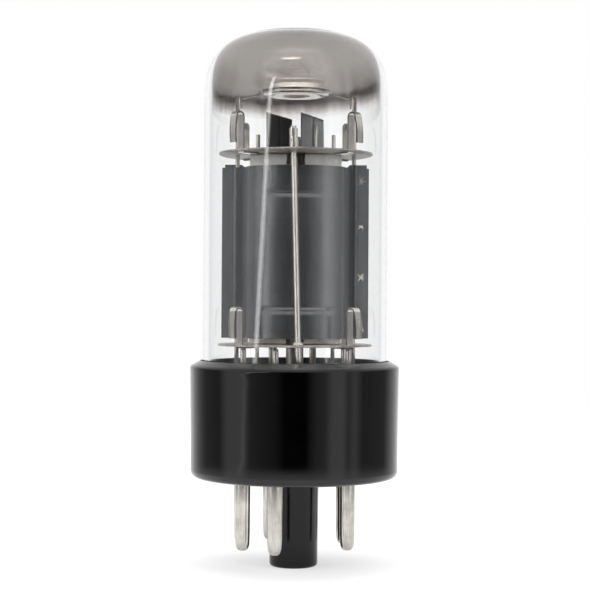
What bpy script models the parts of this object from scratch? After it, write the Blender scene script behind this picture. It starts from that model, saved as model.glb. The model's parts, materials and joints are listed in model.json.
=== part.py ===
"""Octal beam power tube: a glass bulb in a moulded base with seven pins, and the cage inside it.

All lengths are in metres. The tube stands on the flat end of its locating key: the origin is the
centre of that end, +Z runs up the axis to the dome, and the side that the photograph shows faces -Y.
"""

import math

import bmesh
import bpy
from mathutils import Matrix, Vector

# Clearances: round wires, between pieces that touch, and at a welded end
WIRE_GAP = 0.00015
FIT_GAP = 0.0003
WELD_GAP = 0.0001

# Moulded base with its locating key
KEY_LENGTH = 0.0139
KEY_RADIUS = 0.00385
KEY_BORE_RADIUS = 0.0025
KEY_END_THICKNESS = 0.0015
KEY_END_ROUND = 0.0006
RIB_WIDTH = 0.0017
RIB_REACH = 0.0009
RIB_ANGLE = 48.5
BASE_HEIGHT = 0.0181
BASE_RADIUS = 0.0161
BASE_TOP_FLARE = 0.0002
BASE_WALL = 0.0014
BASE_BULB_GAP = 0.0004
BASE_FLOOR = 0.0020
BASE_LOWER_ROUND = 0.0010
BASE_TOP_SLOPE = 0.0009
BASE_TOP_ROUND = 0.0004

# Pins: eight places round the key, and the sixth is left out
PIN_NUMBERS = (1, 2, 3, 4, 5, 7, 8)
PIN_PLACES = 8
PIN_CIRCLE_RADIUS = 0.008725
PIN_RADIUS = 0.00118
PIN_LENGTH = 0.0111
PIN_BORE_RADIUS = 0.00065
PIN_BORE_DEPTH = 0.0070
PIN_FLARE_RADIUS = 0.0016
PIN_FLARE_HEIGHT = 0.0004

# Glass bulb, its button stem and the cement that holds it
BULB_RADIUS = 0.0143
BULB_WALL = 0.0011
BULB_RISE = 0.0513
BULB_SUNK = 0.0085
NECK_RISE = 0.0015
DOME_HEIGHT = 0.0108
DOME_WALL = 0.0004
DOME_SQUARENESS = 2.75
SHOULDER_HEIGHT = 0.0055
SHOULDER_INSET = 0.0020
STEM_THICKNESS = 0.0024
STEM_EDGE = 0.0004
STEM_LEAD_INSET = 0.0022
TIP_RADIUS = 0.0021
TIP_BORE_RADIUS = 0.0012
TIP_FLOOR_GAP = 0.0016
CEMENT_DEPTH = 0.0032
FILM_DEPTH = 0.0106
FILM_THICKNESS = 0.0001

# Micas that space the cage, with the room above them
MICA_GLASS_GAP = 0.0012
MICA_THICKNESS = 0.00025
LOWER_MICA_RISE = 0.0023
CAGE_HEADROOM = 0.0194

# Plate: two pressed halves welded together along their wings
PLATE_SHOULDER = 0.0013
PLATE_HALF_DEPTH = 0.0064
PLATE_SQUARENESS = 2.5
PLATE_SHEET = 0.00025
PLATE_BOTTOM_GAP = 0.0009
PLATE_TOP_GAP = 0.00195
WING_SEAM = 0.0002
WIDE_WING = 0.0024
NARROW_WING = 0.0020
NARROW_WING_RISE = 0.0005
BEAD_HEIGHT = 0.0009
BEAD_DEPTH = 0.0002
BEAD_INSET = 0.0043

# Rods of the cage: radius and rise above the upper mica. The plate's rods keep an inset from the
# mica's edge, and the grids' rods stand part of the way from the cathode to the plate.
PLATE_ROD_INSET = 0.0029
PLATE_ROD_RADIUS = 0.00035
PLATE_ROD_RISE = 0.0091
SCREEN_ROD_SHARE = 0.708
SCREEN_ROD_RADIUS = 0.00032
SCREEN_ROD_RISE = 0.0030
CONTROL_ROD_SHARE = 0.27
CONTROL_ROD_RADIUS = 0.00028
CONTROL_ROD_RISE = 0.0045
ROD_DROP = 0.0042

# Tie rods at the front and the back, which lean a little, with a strip crimped on their tops
TIE_ROD_STANDOFF = 0.0018
TIE_ROD_RADIUS = 0.00047
TIE_ROD_TOP_X = -0.0003
TIE_ROD_FOOT_X = 0.0005
TIE_ROD_DROP = 0.0024
TIE_ROD_RISE = 0.0036
CRIMP_LENGTH = 0.0030
CRIMP_WALL = 0.0002

# Wound grids, cathode and heater
GRID_WIRE_RADIUS = 0.0001
SCREEN_FACE_GAP = 0.0012
CONTROL_GRID_DEPTH = 0.0016
SCREEN_GRID_PITCH = 0.0034
CONTROL_GRID_PITCH = 0.0030
GRID_END_SPACE = 0.0022
CATHODE_HALF_WIDTH = 0.0013
CATHODE_HALF_DEPTH = 0.0007
CATHODE_WALL = 0.00012
CATHODE_RISE = 0.0008
HEATER_RADIUS = 0.00025
HEATER_HALF_SPAN = 0.00055
HEATER_TOP_SPACE = 0.0016
HEATER_DROP = 0.0016

# Beam plates: two folded strips with a window on each broad side
BEAM_SIDE_GAP = 0.0007
BEAM_FACE_GAP = 0.0016
BEAM_OPENING = 0.0014
BEAM_SHEET = 0.00015
BEAM_WINDOW_HALF_WIDTH = 0.0039
BEAM_BAND = 0.0030

# Radiator flags on the control grid's rods
FLAG_LENGTH = 0.0104
FLAG_HEIGHT = 0.00565
FLAG_THICKNESS = 0.0002
FLAG_TURN = 20.5
FLAG_LIFT = 0.0003

# Hairpin springs that hold the micas in the glass
HAIRPIN_ANGLE = 41.5
HAIRPIN_INSET = 0.0011
HAIRPIN_RISE = 0.00575
HAIRPIN_BEND_RADIUS = 0.00062
HAIRPIN_WIDTH = 0.00135
HAIRPIN_SHEET = 0.00015
HAIRPIN_TIP_LIFT = 0.0010
HAIRPIN_FOOT = 0.0028
HAIRPIN_TIP_GAP = 0.00015

# Leads through the stem, and the strips that join them to the cage
LEAD_RADIUS = 0.00045
LEAD_TOP_GAP = 0.0003
LEAD_STRAIGHT = 0.0008
STRIP_WIDTH = 0.0012
STRIP_SHEET = 0.0002
STRIP_END_SPACE = 0.0002

# Getter: a pressed dish on two strips from the plate's rods
GETTER_RADIUS = 0.0054
GETTER_LIFT = 0.0091
GETTER_HEIGHT = 0.0006
GETTER_HUB_HEIGHT = 0.0008
GETTER_HUB_RADIUS = 0.0031
GETTER_ROUND = 0.00045
GETTER_SHEET = 0.0002
GETTER_STRIP_WIDTH = 0.0010
GETTER_STRIP_SHEET = 0.0002
GETTER_STRIP_TAIL = 0.0012
FILL_WIDTH = 0.0010
FILL_HEIGHT = 0.0003

# Facets
ROUND_STEPS = 36
DOME_STEPS = 8
SHOULDER_STEPS = 5
SMALL_STEPS = 12
WIRE_SIDES = 8

# Widths that follow from the sizes above, from the base and the glass inwards
BASE_BORE_RADIUS = BASE_RADIUS - BASE_WALL
NECK_RADIUS = BASE_BORE_RADIUS - BASE_BULB_GAP
STEM_RADIUS = NECK_RADIUS - SHOULDER_INSET - BULB_WALL - FIT_GAP
STEM_LEAD_CIRCLE_RADIUS = STEM_RADIUS - STEM_LEAD_INSET
BULB_INNER_RADIUS = BULB_RADIUS - BULB_WALL
MICA_RADIUS = BULB_INNER_RADIUS - MICA_GLASS_GAP
HAIRPIN_CIRCLE_RADIUS = MICA_RADIUS - HAIRPIN_INSET
PLATE_ROD_X = MICA_RADIUS - PLATE_ROD_INSET
PLATE_HALF_WIDTH = PLATE_ROD_X - PLATE_SHOULDER
WIDE_WING_REACH = PLATE_ROD_X + WIDE_WING
NARROW_WING_REACH = PLATE_ROD_X + NARROW_WING
TIE_ROD_Y = PLATE_HALF_DEPTH + TIE_ROD_STANDOFF
BEAM_HALF_WIDTH = PLATE_HALF_WIDTH - BEAM_SIDE_GAP
BEAM_HALF_DEPTH = PLATE_HALF_DEPTH - BEAM_FACE_GAP
SCREEN_GRID_DEPTH = BEAM_HALF_DEPTH - SCREEN_FACE_GAP
GRID_ROOM = PLATE_HALF_WIDTH - CATHODE_HALF_WIDTH
SCREEN_ROD_X = CATHODE_HALF_WIDTH + GRID_ROOM * SCREEN_ROD_SHARE
CONTROL_ROD_X = CATHODE_HALF_WIDTH + GRID_ROOM * CONTROL_ROD_SHARE

# Heights that follow from the sizes above
SEAT_Z = KEY_LENGTH
FLOOR_TOP_Z = SEAT_Z + BASE_FLOOR
BASE_TOP_Z = SEAT_Z + BASE_HEIGHT
BULB_TOP_Z = BASE_TOP_Z + BULB_RISE
BULB_BOTTOM_Z = BASE_TOP_Z - BULB_SUNK
DOME_Z = BULB_TOP_Z - DOME_HEIGHT
STEM_TOP_Z = BULB_BOTTOM_Z + STEM_THICKNESS
LOWER_MICA_Z = BASE_TOP_Z + LOWER_MICA_RISE
LOWER_MICA_TOP_Z = LOWER_MICA_Z + MICA_THICKNESS
UPPER_MICA_Z = BULB_TOP_Z - CAGE_HEADROOM
UPPER_MICA_TOP_Z = UPPER_MICA_Z + MICA_THICKNESS
PLATE_BOTTOM_Z = LOWER_MICA_TOP_Z + PLATE_BOTTOM_GAP
PLATE_TOP_Z = UPPER_MICA_Z - PLATE_TOP_GAP
ROD_BOTTOM_Z = LOWER_MICA_Z - ROD_DROP
STRIP_Z = ROD_BOTTOM_Z + STRIP_END_SPACE + STRIP_WIDTH / 2
HEATER_BOTTOM_Z = ROD_BOTTOM_Z - HEATER_DROP
HEATER_STRIP_Z = HEATER_BOTTOM_Z + STRIP_WIDTH / 2
GETTER_Z = UPPER_MICA_TOP_Z + GETTER_LIFT

# Colour, metallic value and roughness of each finish
FINISHES = {
    "phenolic": ((0.012, 0.012, 0.013), 0.0, 0.25),
    "nickel_pin": ((0.66, 0.64, 0.60), 1.0, 0.25),
    "nickel": ((0.60, 0.58, 0.54), 1.0, 0.32),
    "carbonised": ((0.045, 0.047, 0.050), 0.2, 0.6),
    "mica": ((0.33, 0.29, 0.25), 0.0, 0.4),
    "glass": ((0.80, 0.84, 0.84), 0.0, 0.05),
    "film": ((0.40, 0.36, 0.34), 1.0, 0.15),
    "cement": ((0.42, 0.36, 0.28), 0.0, 0.9),
    "cathode_coat": ((0.80, 0.79, 0.75), 0.0, 0.8),
    "heater_coat": ((0.75, 0.72, 0.66), 0.0, 0.8),
    "getter_fill": ((0.18, 0.17, 0.16), 0.3, 0.8),
}


def clear_scene():
    for thing in list(bpy.data.objects):
        bpy.data.objects.remove(thing, do_unlink=True)


def new_collection(name):
    collection = bpy.data.collections.new(name)
    bpy.context.scene.collection.children.link(collection)
    return collection


def make_finishes():
    made = {}
    for name, (colour, metallic, roughness) in FINISHES.items():
        finish = bpy.data.materials.new(name)
        finish.use_nodes = True
        shader = finish.node_tree.nodes["Principled BSDF"]
        shader.inputs["Base Color"].default_value = (*colour, 1.0)
        shader.inputs["Metallic"].default_value = metallic
        shader.inputs["Roughness"].default_value = roughness
        finish.diffuse_color = (*colour, 1.0)
        made[name] = finish
    return made


def turned(angle, radius=1.0, z=0.0):
    """The point at this angle, in degrees counterclockwise from +X, seen from above."""
    return Vector((radius * math.cos(math.radians(angle)), radius * math.sin(math.radians(angle)), z))


def pin_angle(number):
    """The pins are numbered counterclockwise from above, and the rib lies between the last and the first."""
    step = 360 / PIN_PLACES
    return RIB_ANGLE + step * (number - 0.5)


def arc(centre, radii, start, end, steps):
    """Points of an elliptic arc in a profile, in degrees from outwards towards up."""
    points = []
    for step in range(steps + 1):
        angle = math.radians(start + (end - start) * step / steps)
        points.append((centre[0] + radii[0] * math.cos(angle), centre[1] + radii[1] * math.sin(angle)))
    return points


def dome(radius, height, base_z, steps, lowest=0.0):
    """A dome's profile from its crown down to the angle lowest, as a superellipse."""
    power = 2 / DOME_SQUARENESS
    points = []
    for step in range(steps + 1):
        angle = math.radians(90 - (90 - lowest) * step / steps)
        across = radius * math.cos(angle) ** power if step else 0.0
        points.append((across, base_z + height * math.sin(angle) ** power))
    return points


def shoulder_radius(z):
    """Outer radius of the bulb's lower end, where it fits the base's bore and then draws in."""
    fall = min(1.0, max(0.0, (BULB_BOTTOM_Z + SHOULDER_HEIGHT - z) / SHOULDER_HEIGHT))
    return NECK_RADIUS - SHOULDER_INSET * (1 - math.sqrt(1 - fall**2))


def oval(half_width, half_depth, squareness, start, end, steps):
    """Points of a superellipse seen from above, from one angle to another in degrees."""
    power = 2 / squareness
    points = []
    for step in range(steps + 1):
        angle = math.radians(start + (end - start) * step / steps)
        across = math.copysign(abs(math.cos(angle)) ** power, math.cos(angle))
        along = math.copysign(abs(math.sin(angle)) ** power, math.sin(angle))
        points.append((half_width * across, half_depth * along))
    return points


def add_object(name, mesh, finish, collection, place=(0.0, 0.0, 0.0), turn=0.0):
    made = bpy.data.objects.new(name, mesh)
    made.location = place
    made.rotation_euler.z = math.radians(turn)
    collection.objects.link(made)
    if finish:
        mesh.materials.append(finish)
    return made


def add_helper(name, mesh, collection):
    """A cutter or a piece that a Boolean joins to another: it isn't rendered."""
    made = add_object(name, mesh, None, collection)
    made.hide_render = True
    made.display_type = "WIRE"
    return made


def mesh_from(name, build):
    """A mesh filled by a function that works on a bmesh."""
    mesh = bpy.data.meshes.new(name)
    work = bmesh.new()
    build(work)
    work.to_mesh(mesh)
    work.free()
    return mesh


def lathe(name, profile, steps, finish, collection, closed=False, place=(0.0, 0.0, 0.0)):
    """Turns a profile of (radius, height) points, which runs down its outer side, about the Z axis."""
    mesh = bpy.data.meshes.new(name)
    count = len(profile)
    edges = [(index, index + 1) for index in range(count - 1)]
    if closed:
        edges.append((count - 1, 0))
    mesh.from_pydata([(radius, 0.0, z) for radius, z in profile], edges, [])
    made = add_object(name, mesh, finish, collection, place)
    screw = made.modifiers.new("turn", "SCREW")
    screw.steps = steps
    screw.render_steps = steps
    screw.use_merge_vertices = True
    screw.merge_threshold = 0.00001
    return made


def strip(name, path, across, width, thickness, finish, collection):
    """A flat strip bent along a path, with its width along the direction across."""
    half = Vector(across).normalized() * (width / 2)
    points = [Vector(point) + half for point in path] + [Vector(point) - half for point in path]
    count = len(path)
    faces = [(index, index + 1, count + index + 1, count + index) for index in range(count - 1)]
    mesh = bpy.data.meshes.new(name)
    mesh.from_pydata(points, [], faces)
    made = add_object(name, mesh, finish, collection)
    thicken(made, thickness)
    return made


def thicken(made, thickness):
    solid = made.modifiers.new("sheet", "SOLIDIFY")
    solid.thickness = thickness
    solid.offset = 0
    solid.use_even_offset = True


def wire(name, points, radius, finish, collection, resolution=2):
    """A wire through the points, with flat ends."""
    curve = bpy.data.curves.new(name, "CURVE")
    curve.dimensions = "3D"
    curve.bevel_depth = radius
    curve.bevel_resolution = resolution
    curve.use_fill_caps = True
    spline = curve.splines.new("POLY")
    spline.points.add(len(points) - 1)
    for point, place in zip(spline.points, points):
        point.co = (*place, 1.0)
    return add_object(name, curve, finish, collection)


def as_mesh(made, collection):
    """The mesh that a curve object shows, in a new object of the same name, with its caps welded."""
    graph = bpy.context.evaluated_depsgraph_get()
    mesh = bpy.data.meshes.new_from_object(made.evaluated_get(graph))
    work = bmesh.new()
    work.from_mesh(mesh)
    bmesh.ops.remove_doubles(work, verts=work.verts, dist=0.000001)
    bmesh.ops.recalc_face_normals(work, faces=work.faces)
    work.to_mesh(mesh)
    work.free()
    name = made.name
    matrix = made.matrix_world.copy()
    bpy.data.objects.remove(made, do_unlink=True)
    mesh.name = name
    solid = bpy.data.objects.new(name, mesh)
    solid.matrix_world = matrix
    collection.objects.link(solid)
    return solid


def add_rod(work, place, low, high, radius, sides=WIRE_SIDES, squash=1.0):
    """A round or oval rod between two heights, in a bmesh."""
    matrix = Matrix.Translation((place[0], place[1], (low + high) / 2)) @ Matrix.Diagonal((1, squash, 1, 1))
    bmesh.ops.create_cone(
        work,
        cap_ends=True,
        segments=sides,
        radius1=radius,
        radius2=radius,
        depth=high - low,
        matrix=matrix,
    )


def add_block(work, centre, size, turn=0.0):
    matrix = Matrix.Translation(centre) @ Matrix.Rotation(math.radians(turn), 4, "Z")
    bmesh.ops.create_cube(work, size=1.0, matrix=matrix @ Matrix.Diagonal((*size, 1)))


def rod(name, place, low, high, radius, finish, collection):
    mesh = mesh_from(name, lambda work: add_rod(work, place, low, high, radius))
    return add_object(name, mesh, finish, collection)


def boolean(made, operation, other):
    change = made.modifiers.new(operation.lower(), "BOOLEAN")
    change.operation = operation
    change.solver = "EXACT"
    change.object = other


def shade(collection):
    for made in collection.objects:
        if made.type == "MESH":
            made.data.shade_smooth()
            made.data.set_sharp_from_angle(angle=math.radians(35))


def make_base(finishes, parts, helpers):
    """The moulded cup with its hollow key, whose rib and pin holes place the tube in a socket."""
    top_radius = BASE_RADIUS + BASE_TOP_FLARE
    profile = [
        (0.0, KEY_END_THICKNESS),
        (KEY_BORE_RADIUS, KEY_END_THICKNESS),
        (KEY_BORE_RADIUS, FLOOR_TOP_Z),
        (BASE_BORE_RADIUS, FLOOR_TOP_Z),
        (BASE_BORE_RADIUS, BASE_TOP_Z),
        (top_radius - BASE_TOP_ROUND, BASE_TOP_Z - BASE_TOP_SLOPE),
        (top_radius, BASE_TOP_Z - BASE_TOP_SLOPE - BASE_TOP_ROUND),
    ]
    profile += arc(
        (BASE_RADIUS - BASE_LOWER_ROUND, SEAT_Z + BASE_LOWER_ROUND),
        (BASE_LOWER_ROUND, BASE_LOWER_ROUND),
        0,
        -90,
        4,
    )
    profile.append((KEY_RADIUS, SEAT_Z))
    profile += arc((KEY_RADIUS - KEY_END_ROUND, KEY_END_ROUND), (KEY_END_ROUND, KEY_END_ROUND), 0, -90, 3)
    profile.append((0.0, 0.0))
    base = lathe("base_shell", profile, ROUND_STEPS, finishes["phenolic"], parts)

    rib_inner = (KEY_BORE_RADIUS + KEY_RADIUS) / 2
    rib_outer = KEY_RADIUS + RIB_REACH
    rib_low = KEY_END_ROUND
    rib_high = SEAT_Z + BASE_FLOOR / 2

    def build_rib(work):
        centre = turned(RIB_ANGLE, (rib_inner + rib_outer) / 2, (rib_low + rib_high) / 2)
        size = (rib_outer - rib_inner, RIB_WIDTH, rib_high - rib_low)
        add_block(work, centre, size, RIB_ANGLE)

    def build_holes(work):
        for number in PIN_NUMBERS:
            place = turned(pin_angle(number), PIN_CIRCLE_RADIUS)
            low = SEAT_Z - BASE_FLOOR
            high = FLOOR_TOP_Z + BASE_FLOOR
            add_rod(work, place, low, high, PIN_RADIUS + WIRE_GAP, SMALL_STEPS)

    boolean(base, "UNION", add_helper("key_rib", mesh_from("key_rib", build_rib), helpers))
    boolean(base, "DIFFERENCE", add_helper("pin_holes", mesh_from("pin_holes", build_holes), helpers))


def make_pins(finishes, parts):
    """Hollow pins with round ends, each flared over inside the base."""
    tip_z = SEAT_Z - PIN_LENGTH
    bore_z = SEAT_Z - PIN_BORE_DEPTH
    flare_z = FLOOR_TOP_Z + WIRE_GAP
    profile = [
        (0.0, bore_z),
        (PIN_BORE_RADIUS, bore_z),
        (PIN_BORE_RADIUS, flare_z + PIN_FLARE_HEIGHT),
        (PIN_FLARE_RADIUS, flare_z + PIN_FLARE_HEIGHT),
        (PIN_FLARE_RADIUS, flare_z),
        (PIN_RADIUS, flare_z),
    ]
    tip = arc((0.0, tip_z + PIN_RADIUS), (PIN_RADIUS, PIN_RADIUS), 0, -90, 3)
    profile += tip[:-1] + [(0.0, tip_z)]
    for number in PIN_NUMBERS:
        place = turned(pin_angle(number), PIN_CIRCLE_RADIUS)
        lathe(f"pin_{number}", profile, SMALL_STEPS, finishes["nickel_pin"], parts, place=place)


def make_bulb(finishes, parts):
    """The bulb, thinner at its crown, which meets the base's bore at its neck and draws in below it."""
    shoulder = [BASE_TOP_Z]
    for step in range(SHOULDER_STEPS + 1):
        share = math.sin(math.pi / 2 * step / SHOULDER_STEPS)
        shoulder.append(BULB_BOTTOM_Z + SHOULDER_HEIGHT * (1 - share))
    outer = dome(BULB_RADIUS, DOME_HEIGHT, DOME_Z, DOME_STEPS)
    outer.append((BULB_RADIUS, BASE_TOP_Z + NECK_RISE))
    outer += [(shoulder_radius(z), z) for z in shoulder]
    inner = dome(BULB_INNER_RADIUS, DOME_HEIGHT - DOME_WALL, DOME_Z, DOME_STEPS)
    inner.append((BULB_INNER_RADIUS, BASE_TOP_Z + NECK_RISE))
    inner += [(shoulder_radius(z) - BULB_WALL, z) for z in shoulder]
    lathe("glass_bulb", outer + inner[::-1], ROUND_STEPS, finishes["glass"], parts)


def make_stem(finishes, parts, helpers):
    """The button that closes the bulb, with the sealed exhaust tip under it and a hole for each lead."""
    rim = STEM_RADIUS
    tip_z = FLOOR_TOP_Z + TIP_FLOOR_GAP
    profile = [
        (0.0, tip_z + TIP_RADIUS),
        (TIP_BORE_RADIUS, tip_z + TIP_RADIUS),
        (TIP_BORE_RADIUS, STEM_TOP_Z),
        (rim - STEM_EDGE, STEM_TOP_Z),
        (rim, STEM_TOP_Z - STEM_EDGE),
        (rim, BULB_BOTTOM_Z + STEM_EDGE),
        (rim - STEM_EDGE, BULB_BOTTOM_Z),
        (TIP_RADIUS, BULB_BOTTOM_Z),
        (TIP_RADIUS, tip_z + TIP_RADIUS),
        (TIP_RADIUS / 2, tip_z + TIP_RADIUS / 4),
        (0.0, tip_z),
    ]
    stem = lathe("button_stem", profile, ROUND_STEPS // 2, finishes["glass"], parts)

    def build_holes(work):
        for number in PIN_NUMBERS:
            place = turned(pin_angle(number), STEM_LEAD_CIRCLE_RADIUS)
            low = BULB_BOTTOM_Z - STEM_THICKNESS
            high = STEM_TOP_Z + STEM_THICKNESS
            add_rod(work, place, low, high, LEAD_RADIUS + WIRE_GAP)

    boolean(stem, "DIFFERENCE", add_helper("lead_holes", mesh_from("lead_holes", build_holes), helpers))


def make_cement(finishes, parts):
    """The ring of cement between the bulb's drawn-in end and the base."""
    heights = [BULB_BOTTOM_Z + CEMENT_DEPTH * share for share in (0.0, 0.1, 0.4, 0.7, 1.0)]
    inner = [(shoulder_radius(z) + FIT_GAP, z) for z in heights]
    wall = BASE_BORE_RADIUS - WELD_GAP
    outer = [(wall, heights[-1]), (wall, heights[0])]
    lathe("base_cement", outer + inner, ROUND_STEPS, finishes["cement"], parts, closed=True)


def film_side(gap):
    """One face of the getter's mirror: the dome's inner profile drawn in by a gap, down to the mirror's edge."""
    radius = BULB_INNER_RADIUS - gap
    height = DOME_HEIGHT - DOME_WALL - gap
    edge_z = BULB_TOP_Z - FILM_DEPTH
    share = (edge_z - DOME_Z) / height
    lowest = math.degrees(math.asin(max(0.0, share) ** (DOME_SQUARENESS / 2)))
    points = dome(radius, height, DOME_Z, DOME_STEPS - 1, lowest)
    if share < 0:
        points.append((radius, edge_z))
    return points


def make_film(finishes, parts):
    """The mirror that the getter leaves inside the dome, as a thin liner."""
    profile = film_side(WELD_GAP) + film_side(WELD_GAP + FILM_THICKNESS)[::-1]
    lathe("getter_film", profile, ROUND_STEPS, finishes["film"], parts)


def tie_rod_x(z):
    """The front tie rod leans: its place across the tube at a height."""
    share = (z - LOWER_MICA_Z) / (UPPER_MICA_Z - LOWER_MICA_Z)
    return TIE_ROD_FOOT_X + (TIE_ROD_TOP_X - TIE_ROD_FOOT_X) * share


def hairpin_angles():
    return (HAIRPIN_ANGLE, 180 - HAIRPIN_ANGLE, 180 + HAIRPIN_ANGLE, 360 - HAIRPIN_ANGLE)


def make_mica(name, low_z, finishes, parts, helpers):
    """A mica disc, with a hole for each rod and a slot for each hairpin spring."""
    disc = lathe(
        name,
        [(0.0, low_z + MICA_THICKNESS), (MICA_RADIUS, low_z + MICA_THICKNESS), (MICA_RADIUS, low_z), (0.0, low_z)],
        ROUND_STEPS,
        finishes["mica"],
        parts,
    )
    low = low_z - 4 * MICA_THICKNESS
    high = low_z + 5 * MICA_THICKNESS

    def build_holes(work):
        for side in (-1, 1):
            add_rod(work, (side * PLATE_ROD_X, 0), low, high, PLATE_ROD_RADIUS + WIRE_GAP)
            add_rod(work, (side * SCREEN_ROD_X, 0), low, high, SCREEN_ROD_RADIUS + WIRE_GAP)
            add_rod(work, (side * CONTROL_ROD_X, 0), low, high, CONTROL_ROD_RADIUS + WIRE_GAP)
            place = (-side * tie_rod_x(low_z), side * TIE_ROD_Y)
            add_rod(work, place, low, high, TIE_ROD_RADIUS + WIRE_GAP, SMALL_STEPS)
        width = CATHODE_HALF_WIDTH + WIRE_GAP + CATHODE_WALL
        depth = CATHODE_HALF_DEPTH + WIRE_GAP + CATHODE_WALL
        add_rod(work, (0, 0), low, high, width, SMALL_STEPS, depth / width)
        for angle in hairpin_angles():
            centre = turned(angle, HAIRPIN_CIRCLE_RADIUS, (low + high) / 2)
            size = (HAIRPIN_SHEET + 2 * WIRE_GAP, HAIRPIN_WIDTH + 2 * WIRE_GAP, high - low)
            add_block(work, centre, size, angle)

    holes = add_helper(name + "_holes", mesh_from(name + "_holes", build_holes), helpers)
    boolean(disc, "DIFFERENCE", holes)


def make_hairpins(level, mica_z, finishes, parts):
    """Springs bent from strip: the foot turns in under the mica and the outer leg presses on the glass."""
    mica_top = mica_z + MICA_THICKNESS
    foot_z = mica_z - WIRE_GAP - HAIRPIN_SHEET / 2
    bend_z = mica_top + HAIRPIN_RISE - HAIRPIN_SHEET / 2 - HAIRPIN_BEND_RADIUS
    bend_radius = HAIRPIN_CIRCLE_RADIUS + HAIRPIN_BEND_RADIUS
    touch = math.sqrt((BULB_INNER_RADIUS - HAIRPIN_TIP_GAP) ** 2 - (HAIRPIN_WIDTH / 2) ** 2)
    tip_radius = touch - HAIRPIN_SHEET
    path = [(HAIRPIN_CIRCLE_RADIUS - HAIRPIN_FOOT, foot_z), (HAIRPIN_CIRCLE_RADIUS, foot_z)]
    path += arc((bend_radius, bend_z), (HAIRPIN_BEND_RADIUS, HAIRPIN_BEND_RADIUS), 180, 0, 6)
    path.append((tip_radius, mica_top + HAIRPIN_TIP_LIFT))
    sides = ("right_rear", "left_rear", "left_front", "right_front")
    for side, angle in zip(sides, hairpin_angles()):
        points = [turned(angle, radius, z) for radius, z in path]
        name = f"{level}_spring_{side}"
        strip(name, points, turned(angle + 90), HAIRPIN_WIDTH, HAIRPIN_SHEET, finishes["nickel"], parts)


def plate_outline():
    """The plate's front half from above: a wing, the channel of a rod, the bowed side, and the same again."""
    wing_y = (PLATE_SHEET + WING_SEAM) / 2
    channel = PLATE_ROD_RADIUS + WIRE_GAP + PLATE_SHEET / 2
    start = math.degrees(math.asin(wing_y / channel))
    left = oval(channel, channel, 2, 180 + start, 360 - start, 5)
    right = [(x + PLATE_ROD_X, y) for x, y in left]
    left = [(x - PLATE_ROD_X, y) for x, y in left]
    side = oval(PLATE_HALF_WIDTH, PLATE_HALF_DEPTH, PLATE_SQUARENESS, 184, 356, 18)
    side[0] = (side[0][0], -wing_y)
    side[-1] = (side[-1][0], -wing_y)
    return [(-WIDE_WING_REACH, -wing_y), *left, *side, *right, (NARROW_WING_REACH, -wing_y)]


def make_plate(finishes, parts):
    """Two like halves, the second turned round the axis by half a turn."""
    outline = plate_outline()
    beads = []
    for bead_z in (PLATE_BOTTOM_Z + BEAD_INSET, PLATE_TOP_Z - BEAD_INSET):
        beads += [(bead_z - BEAD_HEIGHT / 2, 0.0), (bead_z, BEAD_DEPTH), (bead_z + BEAD_HEIGHT / 2, 0.0)]
    levels = [(PLATE_BOTTOM_Z, 0.0), *beads, (PLATE_TOP_Z, 0.0)]
    points = []
    for z, sink in levels:
        for x, y in outline:
            on_side = abs(x) < PLATE_HALF_WIDTH * 0.8
            lift = NARROW_WING_RISE if z == PLATE_TOP_Z and x > PLATE_HALF_WIDTH else 0.0
            points.append((x, y + (sink if on_side else 0.0), z + lift))
    count = len(outline)
    faces = []
    for level in range(len(levels) - 1):
        for index in range(count - 1):
            low = level * count + index
            faces.append((low, low + 1, low + count + 1, low + count))
    mesh = bpy.data.meshes.new("plate_half")
    mesh.from_pydata(points, [], faces)
    thicken(add_object("plate_front", mesh, finishes["carbonised"], parts), PLATE_SHEET)
    rear = bpy.data.objects.new("plate_rear", mesh)
    rear.rotation_euler.z = math.pi
    parts.objects.link(rear)
    thicken(rear, PLATE_SHEET)


def make_plate_rods(finishes, parts):
    top = UPPER_MICA_TOP_Z + PLATE_ROD_RISE
    for side, x in (("left", -PLATE_ROD_X), ("right", PLATE_ROD_X)):
        rod(f"plate_rod_{side}", (x, 0), ROD_BOTTOM_Z, top, PLATE_ROD_RADIUS, finishes["nickel"], parts)


def make_tie_rods(finishes, parts):
    """A rod at the front and one at the back, which lean to opposite sides, each with its crimped strip."""
    low = LOWER_MICA_Z - TIE_ROD_DROP
    high = UPPER_MICA_TOP_Z + TIE_ROD_RISE
    crimp_low = UPPER_MICA_TOP_Z + WIRE_GAP
    bore = TIE_ROD_RADIUS + WELD_GAP
    for name, side in (("front", -1), ("rear", 1)):
        ends = [Vector((-side * tie_rod_x(z), side * TIE_ROD_Y, z)) for z in (low, high)]
        tie = wire(f"tie_rod_{name}", ends, TIE_ROD_RADIUS, finishes["nickel"], parts)
        as_mesh(tie, parts)
        wall = bore + CRIMP_WALL
        profile = [(bore, CRIMP_LENGTH), (wall, CRIMP_LENGTH), (wall, 0.0), (bore, 0.0)]
        place = (-side * tie_rod_x(crimp_low), side * TIE_ROD_Y, crimp_low)
        crimp = lathe(
            f"tie_crimp_{name}",
            profile,
            SMALL_STEPS,
            finishes["nickel"],
            parts,
            closed=True,
            place=place,
        )
        crimp.rotation_euler.y = -side * tie_rod_lean()


def tie_rod_lean():
    return math.atan2(TIE_ROD_TOP_X - TIE_ROD_FOOT_X, UPPER_MICA_Z - LOWER_MICA_Z)


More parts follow.
